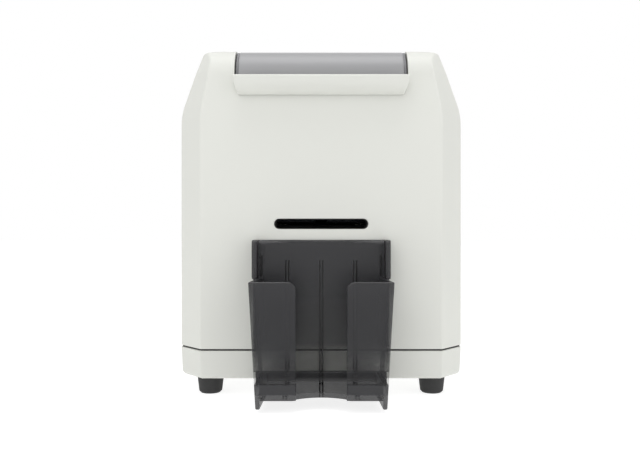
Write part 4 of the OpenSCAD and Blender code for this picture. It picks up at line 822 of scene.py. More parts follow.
def lid_outline(drop):
    """Section of the lid in (y, z), its outside lowered by drop, which runs out at the top."""
    cy, cz = LID_FRONT + LID_R, LID_TOP - LID_R
    under = LID_TOP - LID_T
    chord = math.acos((under - HINGE_Z) / NOTCH_R)
    line = [(LID_FRONT + drop, LID_LOW)]
    for i in range(25):
        rise = min(1.0, max(0.0, i / 24 * 3 - 5 / 3))
        r = LID_R - drop * (1 - 0.88 * rise * rise * (3 - 2 * rise))
        a = math.pi / 2 * i / 24
        line.append((cy - r * math.cos(a), cz + r * math.sin(a)))
    line += [(LID_TAIL, LID_TOP - drop * 0.12), (LID_TAIL, under)]
    line += arc(HINGE_Y, HINGE_Z, NOTCH_R, math.pi / 2 - chord, math.pi / 2 + chord, 8)
    line += arc(cy, cz, LID_R - LID_T, math.pi / 2, math.pi, 24)
    return line + [(LID_FRONT + LID_T, LID_LOW)]


def lid_stations(start, end, drop):
    """Places across a stretch of the lid, each with how far its surface is down; edges eased."""
    r = 0.3
    edge = [(start, drop + r), (start + 0.1, drop + 0.1), (start + r, drop)]
    return edge + [(start + end - x, down) for x, down in reversed(edge)]


def lip_outline(t):
    """Cross-section of the handle lip in (y, z), its outside taken in by t."""
    ax, az = -LIP_OUT + t, LIP_TOP - 1.2
    bx, bz = -LIP_GAP - 0.2 * t, LIP_LOW + t
    length = math.hypot(bx - ax, bz - az)
    h = math.sqrt(LIP_R ** 2 - length ** 2 / 4)
    cx = (ax + bx) / 2 + h * (az - bz) / length
    cz = (az + bz) / 2 + h * (bx - ax) / length
    a0, a1 = math.atan2(az - cz, ax - cx), math.atan2(bz - cz, bx - cx)
    back = LID_FRONT + LID_T
    return [(-LIP_GAP, LIP_TOP - LID_T), (back, LIP_TOP - LID_T),
            (back, LIP_TOP - 0.02 - t * 0.4), (-LIP_OUT + 1.3 + t, LIP_TOP - 0.02 - t * 0.4),
            (-LIP_OUT + 0.55 + t, LIP_TOP - 0.2 - t * 0.4),
            (-LIP_OUT + 0.12 + t, LIP_TOP - 0.6 - t * 0.3)] + arc(cx, cz, LIP_R, a0, a1, 14)


def lip_hollow():
    """Section of the finger hollow behind the lip."""
    roof = LIP_TOP - LIP_T
    nose = [(y, min(z, roof)) for y, z in lip_outline(LIP_T)[6:]]
    return ([(-LIP_GAP + 1, LIP_LOW - 2), (-LIP_GAP + 1, roof)] + nose
            + [(-LIP_GAP - 0.2, LIP_LOW - 2)])


class PRINTER_OT_lid(bpy.types.Operator):
    """Curved lid panel with its stepped sides, and the handle lip along its front edge."""
    bl_idname = "card_printer.lid"
    bl_label = "Lid"

    def execute(self, context):
        inner = LID_HALF - LID_STEP_W
        # The side strips sit lower and take a darker grey, which is painted shade of the gap beside
        # the lid
        for name, start, end, drop, finish in (
                ("lid_cover", -inner, inner, 0.0, "lid_grey"),
                ("lid_strip_left", -LID_HALF, -inner, LID_STEP, "strips"),
                ("lid_strip_right", inner, LID_HALF, LID_STEP, "strips")):
            piece = loft(name, [[(x, y, z) for y, z in reversed(lid_outline(down))]
                                for x, down in lid_stations(start, end, drop)])
            fitted(bevelled(piece, 0.2, 2, 50), "lid_panel", finish)

        # The lip's ends run in along a parabola towards its foot
        lip = drawn("lid_handle", lip_outline(0)[::-1], "x", -LID_HALF, LID_HALF)
        taper, end = context.scene.printer_sizes.lip_end / MM, LID_HALF - 0.05
        side = [(end, LIP_TOP + 1)]
        side += [(end - taper * (i / 12) ** 2, LIP_TAPER_Z - (LIP_TAPER_Z - LIP_LOW) * i / 12)
                 for i in range(13)]
        side.append((side[-1][0] - 0.5, LIP_LOW - 1))
        side.reverse()
        ends = drawn("ends", side + mirrored(side), "y", -LIP_OUT - 1, LID_FRONT + LID_T + 1)
        carved(lip, ends, "INTERSECT")
        reach = LID_HALF - LIP_T - 0.6
        cut(lip, drawn("lip_hollow", lip_hollow()[::-1], "x", -reach, reach))
        fitted(softened(lip, 0.3), "lid_lip")
        return {"FINISHED"}


# Output tray

def wall_x(z, y):
    """Inner face of the tray's side wall: it leans in towards the bottom and towards the back."""
    run = (-y - TRAY_GAP - TRAY_T) / (TRAY_OUT - TRAY_GAP - TRAY_T)
    return TRAY_HALF - 6.2 - (FLAP_TOP - z) * WALL_LEAN * (1 + run / 2) + WALL_SPLAY * run


def strip(name, x, half, ends, axis, depths):
    """A narrow bar with round ends: a rib, or the groove that it stands in."""
    return drawn(name, oblong(x - half, x + half, *ends, half, 5), axis, *depths)


def ribbed(piece, x, ends, axis, groove, rib):
    """Cuts a groove into a piece and stands a rib in it."""
    cut(piece, strip("groove", x, GROOVE_HALF, ends, axis, groove))
    union(piece, bevelled(strip("rib", x, RIB_HALF, ends, axis, rib), 0.2, 2, 50))


def tray_middle(edge):
    """The tray's back plate with its thicker foot, and its floor, both with ribs in grooves."""
    foot_half, floor_half = TRAY_HALF - 1.6, TRAY_HALF - 6
    plate = block("back", -TRAY_HALF, TRAY_HALF, TRAY_BACK, -TRAY_GAP, TRAY_FOOT, TRAY_TOP)
    foot = block("foot", -foot_half, foot_half, TRAY_BACK - 0.8, -TRAY_GAP, TRAY_UNDER,
                 TRAY_FOOT + 0.5)
    union(bevelled(plate, edge, 3), bevelled(foot, 0.6, 3))
    floor = bevelled(block("floor", -floor_half, floor_half, -TRAY_OUT + 1.4, TRAY_BACK + 1,
                           TRAY_UNDER, TRAY_FLOOR), 0.3, 2)
    for x in RIB_XS:
        ribbed(plate, x, (TRAY_FOOT - 2.6, RIB_TOP), "y", (TRAY_BACK - 2, TRAY_BACK + GROOVE_D),
               (TRAY_BACK - 0.5, TRAY_BACK + GROOVE_D + 0.3))
        # The middle rib of the floor starts behind the finger notch
        ribbed(floor, x, (-TRAY_OUT + (4.5 if x else 12.4), TRAY_BACK - 2), "z",
               (TRAY_FLOOR - GROOVE_D, TRAY_FLOOR + 1),
               (TRAY_FLOOR - GROOVE_D - 0.3, TRAY_FLOOR + 0.3))
    return [plate, floor]


def tray_side(side, edge):
    """One side of the tray: its wall, ear, ear's foot, front flap and hook."""
    def facing(points):
        return points if side == 1 else mirrored(points)

    y0, y1 = -TRAY_OUT, TRAY_BACK + 0.5
    rings = []
    for z in (TRAY_LOW, FLAP_TOP):
        front, back = wall_x(z, y0), wall_x(z, y1)
        rings.append(facing([(front, y0, z), (front + TRAY_T, y0, z), (back + TRAY_T, y1, z),
                             (back, y1, z)]))
    wall = bevelled(loft("wall", rings), edge * 1.5, 4)

    line = rounded([(-TRAY_GAP, FLAP_TOP - 0.5), (-TRAY_GAP, TRAY_TOP), (-EAR_OUT, TRAY_TOP),
                    (-EAR_OUT, FLAP_TOP - 0.5)], 2.0, 6)
    ear = drawn("ear", line, "x", *sides(side, TRAY_HALF - EAR_T, TRAY_HALF))
    foot = block("ear_foot", *sides(side, TRAY_HALF - 6.5, TRAY_HALF - 0.6), TRAY_BACK - 0.6,
                 -TRAY_GAP, FLAP_TOP - 6, FLAP_TOP + 1)

    # The flap reaches into the side wall, and its inner lower corner is cut off
    y0, lap, corner, top = -TRAY_OUT + 0.3, 1.2, 1.2, FLAP_TOP - 0.05
    line = [(FLAP_GAP, top), (FLAP_GAP, TRAY_UNDER + corner), (FLAP_GAP + corner, TRAY_UNDER),
            (wall_x(TRAY_UNDER, y0) + lap, TRAY_UNDER), (wall_x(FLAP_TOP, y0) + lap, top)]
    line = rounded(facing(line), FLAP_R, 8, only=0 if side == 1 else 4)
    flap = drawn("flap", line, "y", y0, y0 + TRAY_T)

    y0, y1, y2 = -TRAY_GAP - 0.1, WALL + 0.6, WALL + 2.6
    line = [(y0, HOOK_Z), (y1, HOOK_Z), (y1, HOOK_Z - HOOK_DROP), (y2, HOOK_Z - HOOK_DROP),
            (y2, HOOK_Z + HOOK_H), (y0, HOOK_Z + HOOK_H)]
    hook = drawn("hook", line, "x", *sides(side, HOOK_X - HOOK_HALF, HOOK_X + HOOK_HALF))
    return [wall, bevelled(ear, edge, 3), bevelled(foot, edge, 3), bevelled(flap, edge * 1.5, 3),
            bevelled(hook, 0.3, 2)]


def tray_cuts():
    """What is cut from the tray: finger notch, card scoop, core recesses and corner windows."""
    front, middle = -TRAY_OUT - 1, -TRAY_OUT + FINGER_D - FINGER_R
    reach = math.asin(FLAP_GAP / FINGER_R)
    notch = [(-FLAP_GAP, front), (FLAP_GAP, front)]
    notch += arc(0, middle, FINGER_R, math.pi / 2 - reach, math.pi / 2 + reach, 24)
    # The scoop along the back plate's top is shallow in the middle and deeper towards the ears
    reach = TRAY_HALF - EAR_T
    rings = []
    for i in range(25):
        x = -reach + 2 * reach * i / 24
        depth = 0.8 + 2.4 * (x / reach) ** 2
        rings.append([(x, TRAY_BACK + y, TRAY_TOP + z) for y, z in (
            (-3, -depth - 0.5), (-0.01, -depth), (0.6, -depth * 0.62), (1.3, -depth * 0.25),
            (2.0, 0.02), (2.1, 3), (-3, 3))])
    cuts = [drawn("notch", notch, "z", TRAY_FLOOR - 8, TRAY_FLOOR + 4), loft("scoop", rings)]
    for side in (1, -1):
        cuts += [
            block("core", *sides(side, HOOK_X - 0.7, HOOK_X + 0.7), TRAY_BACK - 1, TRAY_BACK + 2.2,
                  HOOK_Z - HOOK_DROP, HOOK_Z + HOOK_H),
            block("window", *sides(side, TRAY_HALF - 8.6, TRAY_HALF - 6.6), front,
                  -TRAY_OUT + 2.8 + TRAY_T, TRAY_FLOOR - 1.6, TRAY_FLOOR + 0.4),
            block("groove", *sides(side, TRAY_HALF - 12, TRAY_HALF), front, -TRAY_OUT + 0.4,
                  SEAM + 1, SEAM + 1.5)]
    return cuts


class PRINTER_OT_tray(bpy.types.Operator):
    """Smoked output tray that hangs on the front face."""
    bl_idname = "card_printer.tray"
    bl_label = "Output tray"

    def execute(self, context):
        edge = context.scene.printer_sizes.tray_edge / MM
        tray = union(*tray_middle(edge), *tray_side(1, edge), *tray_side(-1, edge))
        cut(tray, *tray_cuts())
        tray.name = "card_tray"
        fitted(tray, "output_tray")
        return {"FINISHED"}


# Feet and screws

class PRINTER_OT_feet(bpy.types.Operator):
    """Four moulded rubber feet, each with a recess for its screw."""
    bl_idname = "card_printer.feet"
    bl_label = "Feet"

    def execute(self, context):
        # Up the outside, over the top, down the screw's hole and round the recess and grip ring
        line = rounded([(0, 3.4), (0, 4.5), (0.35, 4.6), (0.35, 5.1), (0, 5.2), (0, 6.1),
                        (1.2, 7.3), (5.4, 7.8), (BASE, 8.45), (BASE, 1.75), (4, 1.75), (4, 3.4)],
                       0.3, 3)
        foot = turned("foot", line, "z", (0, 0), closed=True)
        places = [((x, y, 0), UPRIGHT) for x in (-FOOT_X, FOOT_X) for y in FOOT_YS]
        fitted(repeated("feet", foot, places, "rubber_black"), "rubber_feet")
        return {"FINISHED"}


class PRINTER_OT_screws(bpy.types.Operator):
    """Pan-head screws of the feet, the casing and the chassis."""
    bl_idname = "card_printer.screws"
    bl_label = "Screws"

    def execute(self, context):
        r, stem = context.scene.printer_sizes.screw_head_r / MM, 1.2  # head and thread
        line = [(-8, 0), (-7.4, stem), (0.08, stem), (0.08, r), (1.0, r), (1.8, r * 0.72),
                (1.84, 0)]
        screw = turned("screw", eased(line, 0.35), "z", (0, 0))
        cut(screw, drawn("recess", arc(0, 0, 1.2, 0, math.tau, 6)[:-1], "z", 0.9, 3))
        places = [((side * x, y, z), turn)
                  for x, ys, z, turn in ((FOOT_X, FOOT_YS, 4, UPSIDE_DOWN),
                                         (BOSS_X, BOSS_YS, BASE, UPSIDE_DOWN),
                                         (POST_X, POST_YS, POST_TOP, UPRIGHT))
                  for side in (-1, 1) for y in ys]
        fitted(repeated("screws", screw, places, "steel", spin=math.tau), "case_screws")
        return {"FINISHED"}


# Back of the printer

class PRINTER_OT_door(bpy.types.Operator):
    """Smoked rear door with its finger ridge and hinge barrel."""
    bl_idname = "card_printer.door"
    bl_label = "Rear door"

    def execute(self, context):
        _, half, y0, _, foot, top = span("hopper_door")
        y1, barrel = y0 + 2.2, (y0 + 2.6, foot + 2.6)
        leaf = drawn("rear_door_leaf", oblong(-half, half, foot + 5.6, top, 4, 6), "y", y0, y1)
        ridge = block("ridge", 12 - half, half - 12, y1 - 0.1, y1 + 2.4, top - 8, top - 5.6)
        tail = block("tail", 10 - half, half - 10, y0, y1, barrel[1], foot + 7)
        union(bevelled(leaf, 0.5, 3), bevelled(ridge, 0.7, 4), bevelled(tail, 0.3, 2),
              rod("tube", 2.59, 10 - half, half - 10, barrel, edge=0.3))
        cut(leaf, *[rod("pin_hole", 1.16, *sides(side, half - 15, half - 9), barrel)
                    for side in (-1, 1)])
        fitted(leaf, "hopper_door")
        return {"FINISHED"}


def port(node, edge, mouth):
    """A port's shell: a rounded block as large as its node, with a mouth cut into it."""
    fitted(cut(bevelled(block(node + "_case", *span(node)), edge, 3), mouth), node)


class PRINTER_OT_ports(bpy.types.Operator):
    """Power inlet with its pin, and the data and network ports with their contacts."""
    bl_idname = "card_printer.ports"
    bl_label = "Ports"

    def execute(self, context):
        x, _, z = middle_of("dc_jack")
        line = [(DEPTH - 10, 0), (DEPTH - 10, 3.2), (DEPTH - 1.0, 3.2), (DEPTH + 0.2, 4.2),
                (DEPTH + 0.2, 0)]
        port("dc_jack", 0.5, turned("mouth", eased(line, 0.2), "y", (x, z)))
        pin = rod("inlet_pin", 1.0, DEPTH - 11, DEPTH - 1.6, (x, z), "y", 0.6)
        fitted(pin, "dc_jack", "gold")

        x, _, z = middle_of("usb_port")
        mouth = [(x - 4.3, z - 3.9), (x + 4.3, z - 3.9), (x + 4.3, z + 2.6), (x + 3, z + 3.9),
                 (x - 3, z + 3.9), (x - 4.3, z + 2.6)]
        port("usb_port", 0.25, drawn("mouth", rounded(mouth, 0.4, 3), "y", DEPTH - 9, DEPTH + 1))
        tongue = block("data_tongue", x - 2.8, x + 2.8, DEPTH - 10, DEPTH - 2, z - 1.5, z + 1.5)
        fitted(bevelled(tongue, 0.3, 3), "usb_port", "core_cream")
        contact = bevelled(block("contact", -0.5, 0.5, DEPTH - 8.6, DEPTH - 2.6, -0.1, 0.08), 0.06)
        contacts = in_row("data_contacts", contact, 2, (x - 1.3, 0, z + 1.5), (2.6, 0, 0), "gold")
        fitted(contacts, "usb_port", "gold")

        x, _, z = middle_of("lan_port")
        mouth = [(x - 6, z - 3.2), (x - 3, z - 3.2), (x - 3, z - 4), (x + 3, z - 4),
                 (x + 3, z - 3.2), (x + 6, z - 3.2), (x + 6, z + 4), (x - 6, z + 4)]
        port("lan_port", 0.25, drawn("mouth", rounded(mouth, 0.25, 2), "y", DEPTH - 9, DEPTH + 1))
        line = [(DEPTH - 9.2, 3.6), (DEPTH - 3.4, 3.6), (DEPTH - 8.2, 0.4), (DEPTH - 8.5, 0.2),
                (DEPTH - 4.1, 3.2), (DEPTH - 9.2, 3.2)]
        wire = bevelled(drawn("wire", line, "x", -0.2, 0.2), 0.08, 2)
        wires = in_row("network_contacts", wire, 8, (x - 3.57, 0, z), (1.02, 0, 0), "gold")
        fitted(wires, "lan_port", "gold")
        return {"FINISHED"}


class PRINTER_OT_switch(bpy.types.Operator):
    """Power switch: a bezel with a rocker whose two halves are dished."""
    bl_idname = "card_printer.switch"
    bl_label = "Power switch"

    def execute(self, context):
        x0, x1, y0, y1, z0, z1 = span("switch_housing")
        rim = 1.6  # how far the bezel stands out round the body, and the body round its well
        bezel = drawn("bezel", oblong(x0, x1, z0, z1, rim, 5), "y", DEPTH + 0.05, y1)
        body = block("switch_body", x0 + rim, x1 - rim, y0, DEPTH + 1, z0 + rim, z1 - rim)
        union(bevelled(body, 0.4, 2), bevelled(bezel, 0.5, 3, 50))
        well = oblong(x0 + 2 * rim, x1 - 2 * rim, z0 + 2 * rim, z1 - 2 * rim, 0.5, 3)
        cut(body, drawn("well", well, "y", DEPTH - 12, DEPTH + 3))
        fitted(body, "switch_housing")

        x0, x1 = span("power_rocker")[:2]
        y, z = DEPTH - 3.4, (z0 + z1) / 2
        face = [(y - 3, z + 3), (y - 3, z - 3), (y + 3.4, z - 6.8), (y + 6.6, z - 6.6),
                (y + 5.3, z - 3.2), (y + 4.6, z), (y + 4.15, z + 3.4), (y + 4.2, z + 6.8),
                (y + 1, z + 6.8)]
        rocker = drawn("rocker_key", rounded(face, 0.5, 3), "x", x0 + 1.2, x1 - 1.2)
        bevelled(rocker, 0.35, 3, 40)
        fitted(union(rocker, rod("rocker_axle", 1.0, x0, x1, (y, z))), "power_rocker")
        return {"FINISHED"}


def blade_section(r, pitch, half=2.9):
    """Section of a fan blade at radius r: a thin curved leaf, turned by its pitch."""
    ring = []
    for k in range(12):
        u = half * math.cos(math.tau * k / 12)
        v = 0.35 * math.sin(math.tau * k / 12) + 0.7 * (1 - (u / half) ** 2)
        ring.append((r, u * math.cos(pitch) - v * math.sin(pitch),
                     u * math.sin(pitch) + v * math.cos(pitch)))
    return ring


class PRINTER_OT_fan(bpy.types.Operator):
    """Fan frame on four arms, and its rotor with seven curved blades."""
    bl_idname = "card_printer.fan"
    bl_label = "Fan"

    def execute(self, context):
        x0, x1, y0, y1, z0, z1 = span("fan_housing")
        x, _, z = middle_of("fan_housing")
        reach = x1 - x
        housing = drawn("fan_frame", oblong(x0, x1, z0, z1, 2.2, 5), "y", y0, y1)
        bevelled(housing, 0.3, 2, 50)
        cut(housing, rod("bore", reach - 1, y0 - 1, y1 + 1, (x, z), "y"))
        corner = reach - 2.4
        cut(housing, *[rod("hole", 1.3, y0 - 1, y1 + 1, (x + sx * corner, z + sz * corner), "y")
                       for sx in (-1, 1) for sz in (-1, 1)])
        arm = bevelled(block("arm", 5, reach - 0.5, 0, 1.6, -1, 1), 0.25, 2)
        places = [((x, y0, z), (0, math.radians(a), 0)) for a in (45, 135, 225, 315)]
        union(housing, repeated("arms", arm, places, "deck_grey"),
              rod("mount", 6, y0, y0 + 1.6, (x, z), "y"),
              rod("axle", 1.5, y0 + 1, y1 - 1.6, (x, z), "y"))
        fitted(housing, "fan_housing")

        root = 5.9
        blade = outward(loft("blade", [
            blade_section(root + (reach - 2.1 - root) * i / 6, math.radians(38 - 2 * i))
            for i in range(7)]))
        places = [((x, y1 - 4.5, z), (0, math.tau * i / 7, 0)) for i in range(7)]
        blades = repeated("blades", blade, places, "deck_grey")
        line = rounded([(y1 - 7.8, 1.6), (y1 - 7.8, 6.5), (y1 - 1, 6.5), (y1 - 1, 0.05),
                        (y1 - 1.5, 0.05), (y1 - 1.5, 1.6)], 0.5, 3)
        hub = turned("fan_hub", line, "y", (x, z), closed=True)
        fitted(union(hub, blades), "fan_rotor")
        return {"FINISHED"}


# Controls on the right shoulder

class PRINTER_OT_controls(bpy.types.Operator):
    """Two dished keys, three status lights and the board under them."""
    bl_idname = "card_printer.controls"
    bl_label = "Controls"

    def execute(self, context):
        for node in ("feed_button", "menu_button"):
            x0, x1, _, _, foot, top = span(node)
            rim, r = (x1 - x0) / 2, (x1 - x0) / 2 - 1
            line = eased([(foot, 0), (foot, rim), (foot + 1.2, rim), (foot + 1.2, r), (top, r),
                          (top, r - 0.5)], 0.3)
            line += [(top - 0.45 * (1 - (i / 8) ** 2), (r - 0.7) * i / 8)
                     for i in range(7, -1, -1)]
            fitted(turned(node + "_key", line, "z", middle_of(node)[:2]), node)

        x0, x1, y0, y1, z0, z1 = span("control_board")
        x, panel = middle_of("feed_button")[0], z0 + 6
        board = block("panel_board", x0 + 0.65, x1, y0, y1, panel - 1.6, panel)
        bracket = block("bracket", x0, x0 + 0.85, y0 + 2, y1 - 2, z0, panel)
        union(bevelled(board, 0.12, 2), bevelled(bracket, 0.12, 2))
        fitted(board, "control_board")
        body = bevelled(block("switch", -3, 3, -3, 3, -0.05, 2.2), 0.2, 2)
        union(body, rod("plunger", 1.7, 2, 3, (0, 0), "z"))
        places = [((x, y, panel), UPRIGHT) for y in BUTTON_YS]
        switches = repeated("key_switches", body, places, "deck_grey")
        fitted(switches, "control_board", "deck_grey")
        height = z1 - panel
        pipe = turned("pipe", eased([(-0.1, 0), (-0.1, 1.2), (height - 0.5, 1.2), (height, 0.5),
                                     (height, 0)], 0.4), "z", (0, 0))
        places = [((x, y, panel), UPRIGHT) for y in LIGHT_YS]
        pipes = repeated("status_lights", pipe, places, "light_pipe")
        fitted(pipes, "control_board", "light_pipe")
        return {"FINISHED"}


# Rollers, belt and ribbon

def shaft(node, name, r, edge=0.4):
    """A turned bar as long as its node."""
    return rod(name, r, *span(node)[:2], axle(node), edge=edge)


def tyre(node, name, r, bore, half, finish="sleeve_black"):
    """A roller's covering, with fine rounded ends."""
    line = rounded([(-half, bore), (-half, r), (half, r), (half, bore)], 0.3, 3)
    piece = turned(name, line, "x", axle(node), closed=True, steps=64)
    fitted(piece, node, finish)


class PRINTER_OT_rollers(bpy.types.Operator):
    """Card rollers: turned shafts with pulleys and collars, and ground rubber coverings."""
    bl_idname = "card_printer.rollers"
    bl_label = "Rollers"

    def execute(self, context):
        for node in ("exit_roller", "middle_roller", "entry_roller", "platen_shaft"):
            r, teeth = (8.0, 24) if node == "platen_shaft" else (6.0, 18)
            bar = shaft(node, node + "_shaft", SHAFT_R)
            union(bar, drawn("wheel", toothed(teeth, r - 0.03, r - 0.5, axle(node)), "x",
                             *PULLEY_X))
            if node != "platen_shaft":
                union(bar, *[rod("collar", SHAFT_R + 1.4, *sides(side, 31, 42), axle(node))
                             for side in (-1, 1)])
                tyre(node, node + "_tyre", r - HAIR, SHAFT_R - 0.1, 29)
            fitted(bar, node, "shafts")
        tyre("platen_sleeve", "platen_tyre", 8.0 - HAIR, SHAFT_R, 30)

        for node in ("exit_pinch_roller", "middle_pinch_roller", "entry_pinch_roller",
                     "cleaning_roller"):
            bar = shaft(node, node + "_shaft", SHAFT_R - 0.8)
            if node == "cleaning_roller":
                tyre(node, "cleaning_tyre", 8.0 - HAIR, SHAFT_R - 0.9, 29, "clean_blue")
            else:
                union(bar, *[rod("roll", 5.0 - HAIR, start, start + 25, axle(node), edge=0.5)
                             for start in (-29, 4)])
            fitted(bar, node, "shafts")

        node = "pick_roller"
        start, end = span(node)[:2]
        bar = union(rod("pick_shaft", SHAFT_R, -47.1, end, axle(node)),
                    rod("stub", SHAFT_R - 0.5, start, -46.5, axle(node)))
        fitted(bar, node, "shafts")
        # The grip has a fine groove every two millimetres
        half, r, root = 12, 12.0 - HAIR, 11.3
        line = [(-half, SHAFT_R - 0.1), (-half, r)]
        for x in range(-10, 11, 2):
            line += [(x - 0.35, r), (x - 0.25, root), (x + 0.25, root), (x + 0.35, r)]
        line += [(half, r), (half, SHAFT_R - 0.1)]
        grip = turned("pick_tyre", rounded(line, 0.1, 2), "x", axle(node), closed=True, steps=64)
        fitted(grip, node, "sleeve_black")
        return {"FINISHED"}


def belt_path(r, steps=14):
    """Anticlockwise loop in (y, z) at distance r round the front, motor and back shafts."""
    (fy, fz), (my, mz), (by, bz) = [axle(n) for n in ("exit_roller", "motor_pulley",
                                                      "entry_roller")]
    lean, down = math.atan2(bz - mz, by - my), -math.pi / 2
    return (arc(fy, fz, r, math.pi / 2, math.tau + down - lean, steps)
            + arc(my, mz, r, down - lean, down + lean, 8)
            + arc(by, bz, r, down + lean, math.pi / 2, steps))


class PRINTER_OT_belt(bpy.types.Operator):
    """Timing belt with its teeth inside, and the motor's pulley."""
    bl_idname = "card_printer.belt"
    bl_label = "Belt"

    def execute(self, context):
        pitch = context.scene.printer_sizes.belt_tooth / MM
        a, b = span("drive_belt")[:2]
        outer, inner = belt_path(7.48), belt_path(6.85)
        rings = [[(x, y, z) for y, z in line]
                 for x, line in ((a, outer), (b, outer), (b, inner), (a, inner))]
        belt = outward(loft("timing_belt", rings, closed=True))
        path = [Vector(p) for p in belt_path(6.6, 40)]
        places, left = [], 0.0
        for start, end in zip(path, path[1:] + path[:1]):
            along = end - start
            while left < along.length:
                spot = start + along.normalized() * left
                turn = (math.atan2(along.y, along.x), 0, 0)
                places.append((((a + b) / 2, spot.x, spot.y), turn))
                left += pitch
            left -= along.length
        half = (b - a) / 2
        line = rounded([(-0.5, 0.34), (-0.28, -0.3), (0.28, -0.3), (0.5, 0.34)], 0.12, 2)
        tooth = drawn("tooth", line[::-1], "x", -half, half)
        teeth = repeated("belt_teeth", tooth, places, "rubber_black")
        fitted(belt, "drive_belt")
        fitted(teeth, "drive_belt")

        node = "motor_pulley"
        start, end = span(node)[:2]
        wheel = drawn("motor_wheel", toothed(18, 5.97, 5.5, axle(node)), "x", *PULLEY_X)
        union(wheel, rod("flange", 7.58, start, PULLEY_X[0] + 0.05, axle(node), edge=0.3),
              rod("motor_shaft", 2.5, -49, end, axle(node)))
        fitted(wheel, node)
        return {"FINISHED"}


class PRINTER_OT_ribbon(bpy.types.Operator):
    """Ribbon rolls on their flanged cores, the take-up gear and its pinion."""
    bl_idname = "card_printer.ribbon"
    bl_label = "Ribbon"

    def execute(self, context):
        for core, roll, r in (("supply_core", "supply_roll", 20.0),
                              ("takeup_core", "takeup_roll", 13.0)):
            end = high(core).x
            tube = [(end, 4.2), (end, 6), (33, 6), (33, 11), (31, 11), (31, 10)]
            tube = rounded(tube + mirrored(tube), 0.3, 3)
            fitted(turned(core + "_tube", tube, "x", axle(core), closed=True, steps=64), core)
            # The ends of the roll show the film's layers as fine steps
            film = [(29 - 0.12 * (i % 2), 10.02 + (r - 10.04) * i / 12) for i in range(13)]
            film += mirrored(film)
            fitted(turned(roll + "_film", film, "x", axle(roll), closed=True, steps=72), roll)
        for node in ("takeup_gear", "ribbon_pinion"):
            fitted(softened(copy_of(node, node + "_wheel"), 0.1), node)
        return {"FINISHED"}


# Print head

class PRINTER_OT_head(bpy.types.Operator):
    """Thermal head: finned heat sink, ceramic bar with its glazed heater line, and the plug."""
    bl_idname = "card_printer.head"
    bl_label = "Print head"

    def execute(self, context):
        x0, x1, y0, y1, z0, z1 = span("heat_sink")
        sink = bevelled(block("heat_sink_fins", x0, x1, y0, y1, z0, z0 + 6), 0.3, 2)
        fin_t, count, height = 1.5, 13, z1 - z0
        line = rounded([(-fin_t / 2, 5), (fin_t / 2, 5), (fin_t / 2 - 0.25, height),
                        (0.25 - fin_t / 2, height)], 0.3, 3)
        fin = drawn("fin", line, "y", y0 + 0.05, y1 - 0.05)
        fins = in_row("fins", fin, count, (x0 + fin_t / 2, 0, z0),
                      ((x1 - x0 - fin_t) / (count - 1), 0, 0), "aluminium")
        fitted(union(sink, fins), "heat_sink")

        x0, x1, y0, y1, z0, z1 = span("print_head")
        slab = z0 + 1
        bar = bevelled(block("head_ceramic", x0, x1, y0, y1, slab, z1), 0.2, 2)
        cut(bar, block("plug_recess", -5, 5, y1 - 6, y1 + 1, slab + 2, z1 + 1))
        fitted(bar, "print_head", "ceramic")
        line = rod("heater_line", 0.98, -28, 28, (axle("platen_sleeve")[0], slab), edge=0.6)
        fitted(line, "print_head", "glaze")
        plug = block("head_plug", -4.8, 4.8, y1 - 5.8, y1 - 0.4, slab + 2.1, z1 - 0.1)
        fitted(bevelled(plug, 0.3, 2), "print_head", "core_cream")
        return {"FINISHED"}


# Main board

class PRINTER_OT_board(bpy.types.Operator):
    """Main board with its chips, capacitors, plug row and small parts."""
    bl_idname = "card_printer.board"
    bl_label = "Main board"

    def execute(self, context):
        node = "main_board"
        x0, x1, y0, y1, z0, _ = span(node)
        top = z0 + 1.6
        fitted(bevelled(block("main_panel", x0, x1, y0, y1, z0, top), 0.12, 2), node)

        chips = [bevelled(block("chips", *ends, top - 0.1, top + height), 0.2, 2)
                 for ends, height in (((-15, 3, y0 + 31, y0 + 49), 1.6),
                                      ((15, 25, y0 + 35, y0 + 45), 1.4))]
        fitted(union(*chips), node, "deck_grey")
        legs = []
        for x in (-15.4, 3.4):
            leg = bevelled(block("leg", -0.5, 0.5, -0.14, 0.14, -0.02, 0.5), 0.05, 1)
            legs.append(in_row("chip_legs", leg, 22, (x, y0 + 32, top), (0, 0.76, 0), "gold"))
        fitted(union(*legs), node, "gold")

        line = eased([(-0.05, 0), (-0.05, 3.9), (0.9, 3.9), (1.2, 3.6), (1.6, 3.9), (8.8, 3.9),
                      (8.8, 0)], 0.3)
        places = [((x, y0 + y, top), UPRIGHT) for x, y in ((-27, 62), (-27, 46), (30, 60))]
        cans = repeated("capacitors", turned("can", line, "z", (0, 0)), places, "aluminium",
                        spin=math.tau)
        fitted(cans, node, "aluminium")
        shell = bevelled(block("shell", -4.9, 4.9, 4.1, 8.9, -0.05, 6.3), 0.3, 2)
        cut(shell, block("slot", -4, 4, 5, 8, 1, 7))
        plugs = in_row("plug_row", shell, 5, (-30, y0, top), (15, 0, 0), "core_cream")
        fitted(plugs, node, "core_cream")

        # Resistors in a loose grid, left out where the larger parts stand
        taken = ((-18, 8, 28, 52), (12, 28, 32, 48), (-33, -21, 40, 68), (24, 36, 54, 66))
        places = [((x, y0 + y, top), (0, 0, math.pi / 2 * (x % 2)))
                  for x in range(-34, 36, 5) for y in range(14, 84, 6) if (x * 7 + y * 5) % 3
                  and not any(a <= x <= b and c <= y <= d for a, b, c, d in taken)]
        part = bevelled(block("resistor", -1.0, 1.0, -0.6, 0.6, -0.02, 0.55), 0.1, 1)
        parts = repeated("small_parts", part, places, "deck_grey", seed=3)
        fitted(parts, node, "deck_grey")
        return {"FINISHED"}


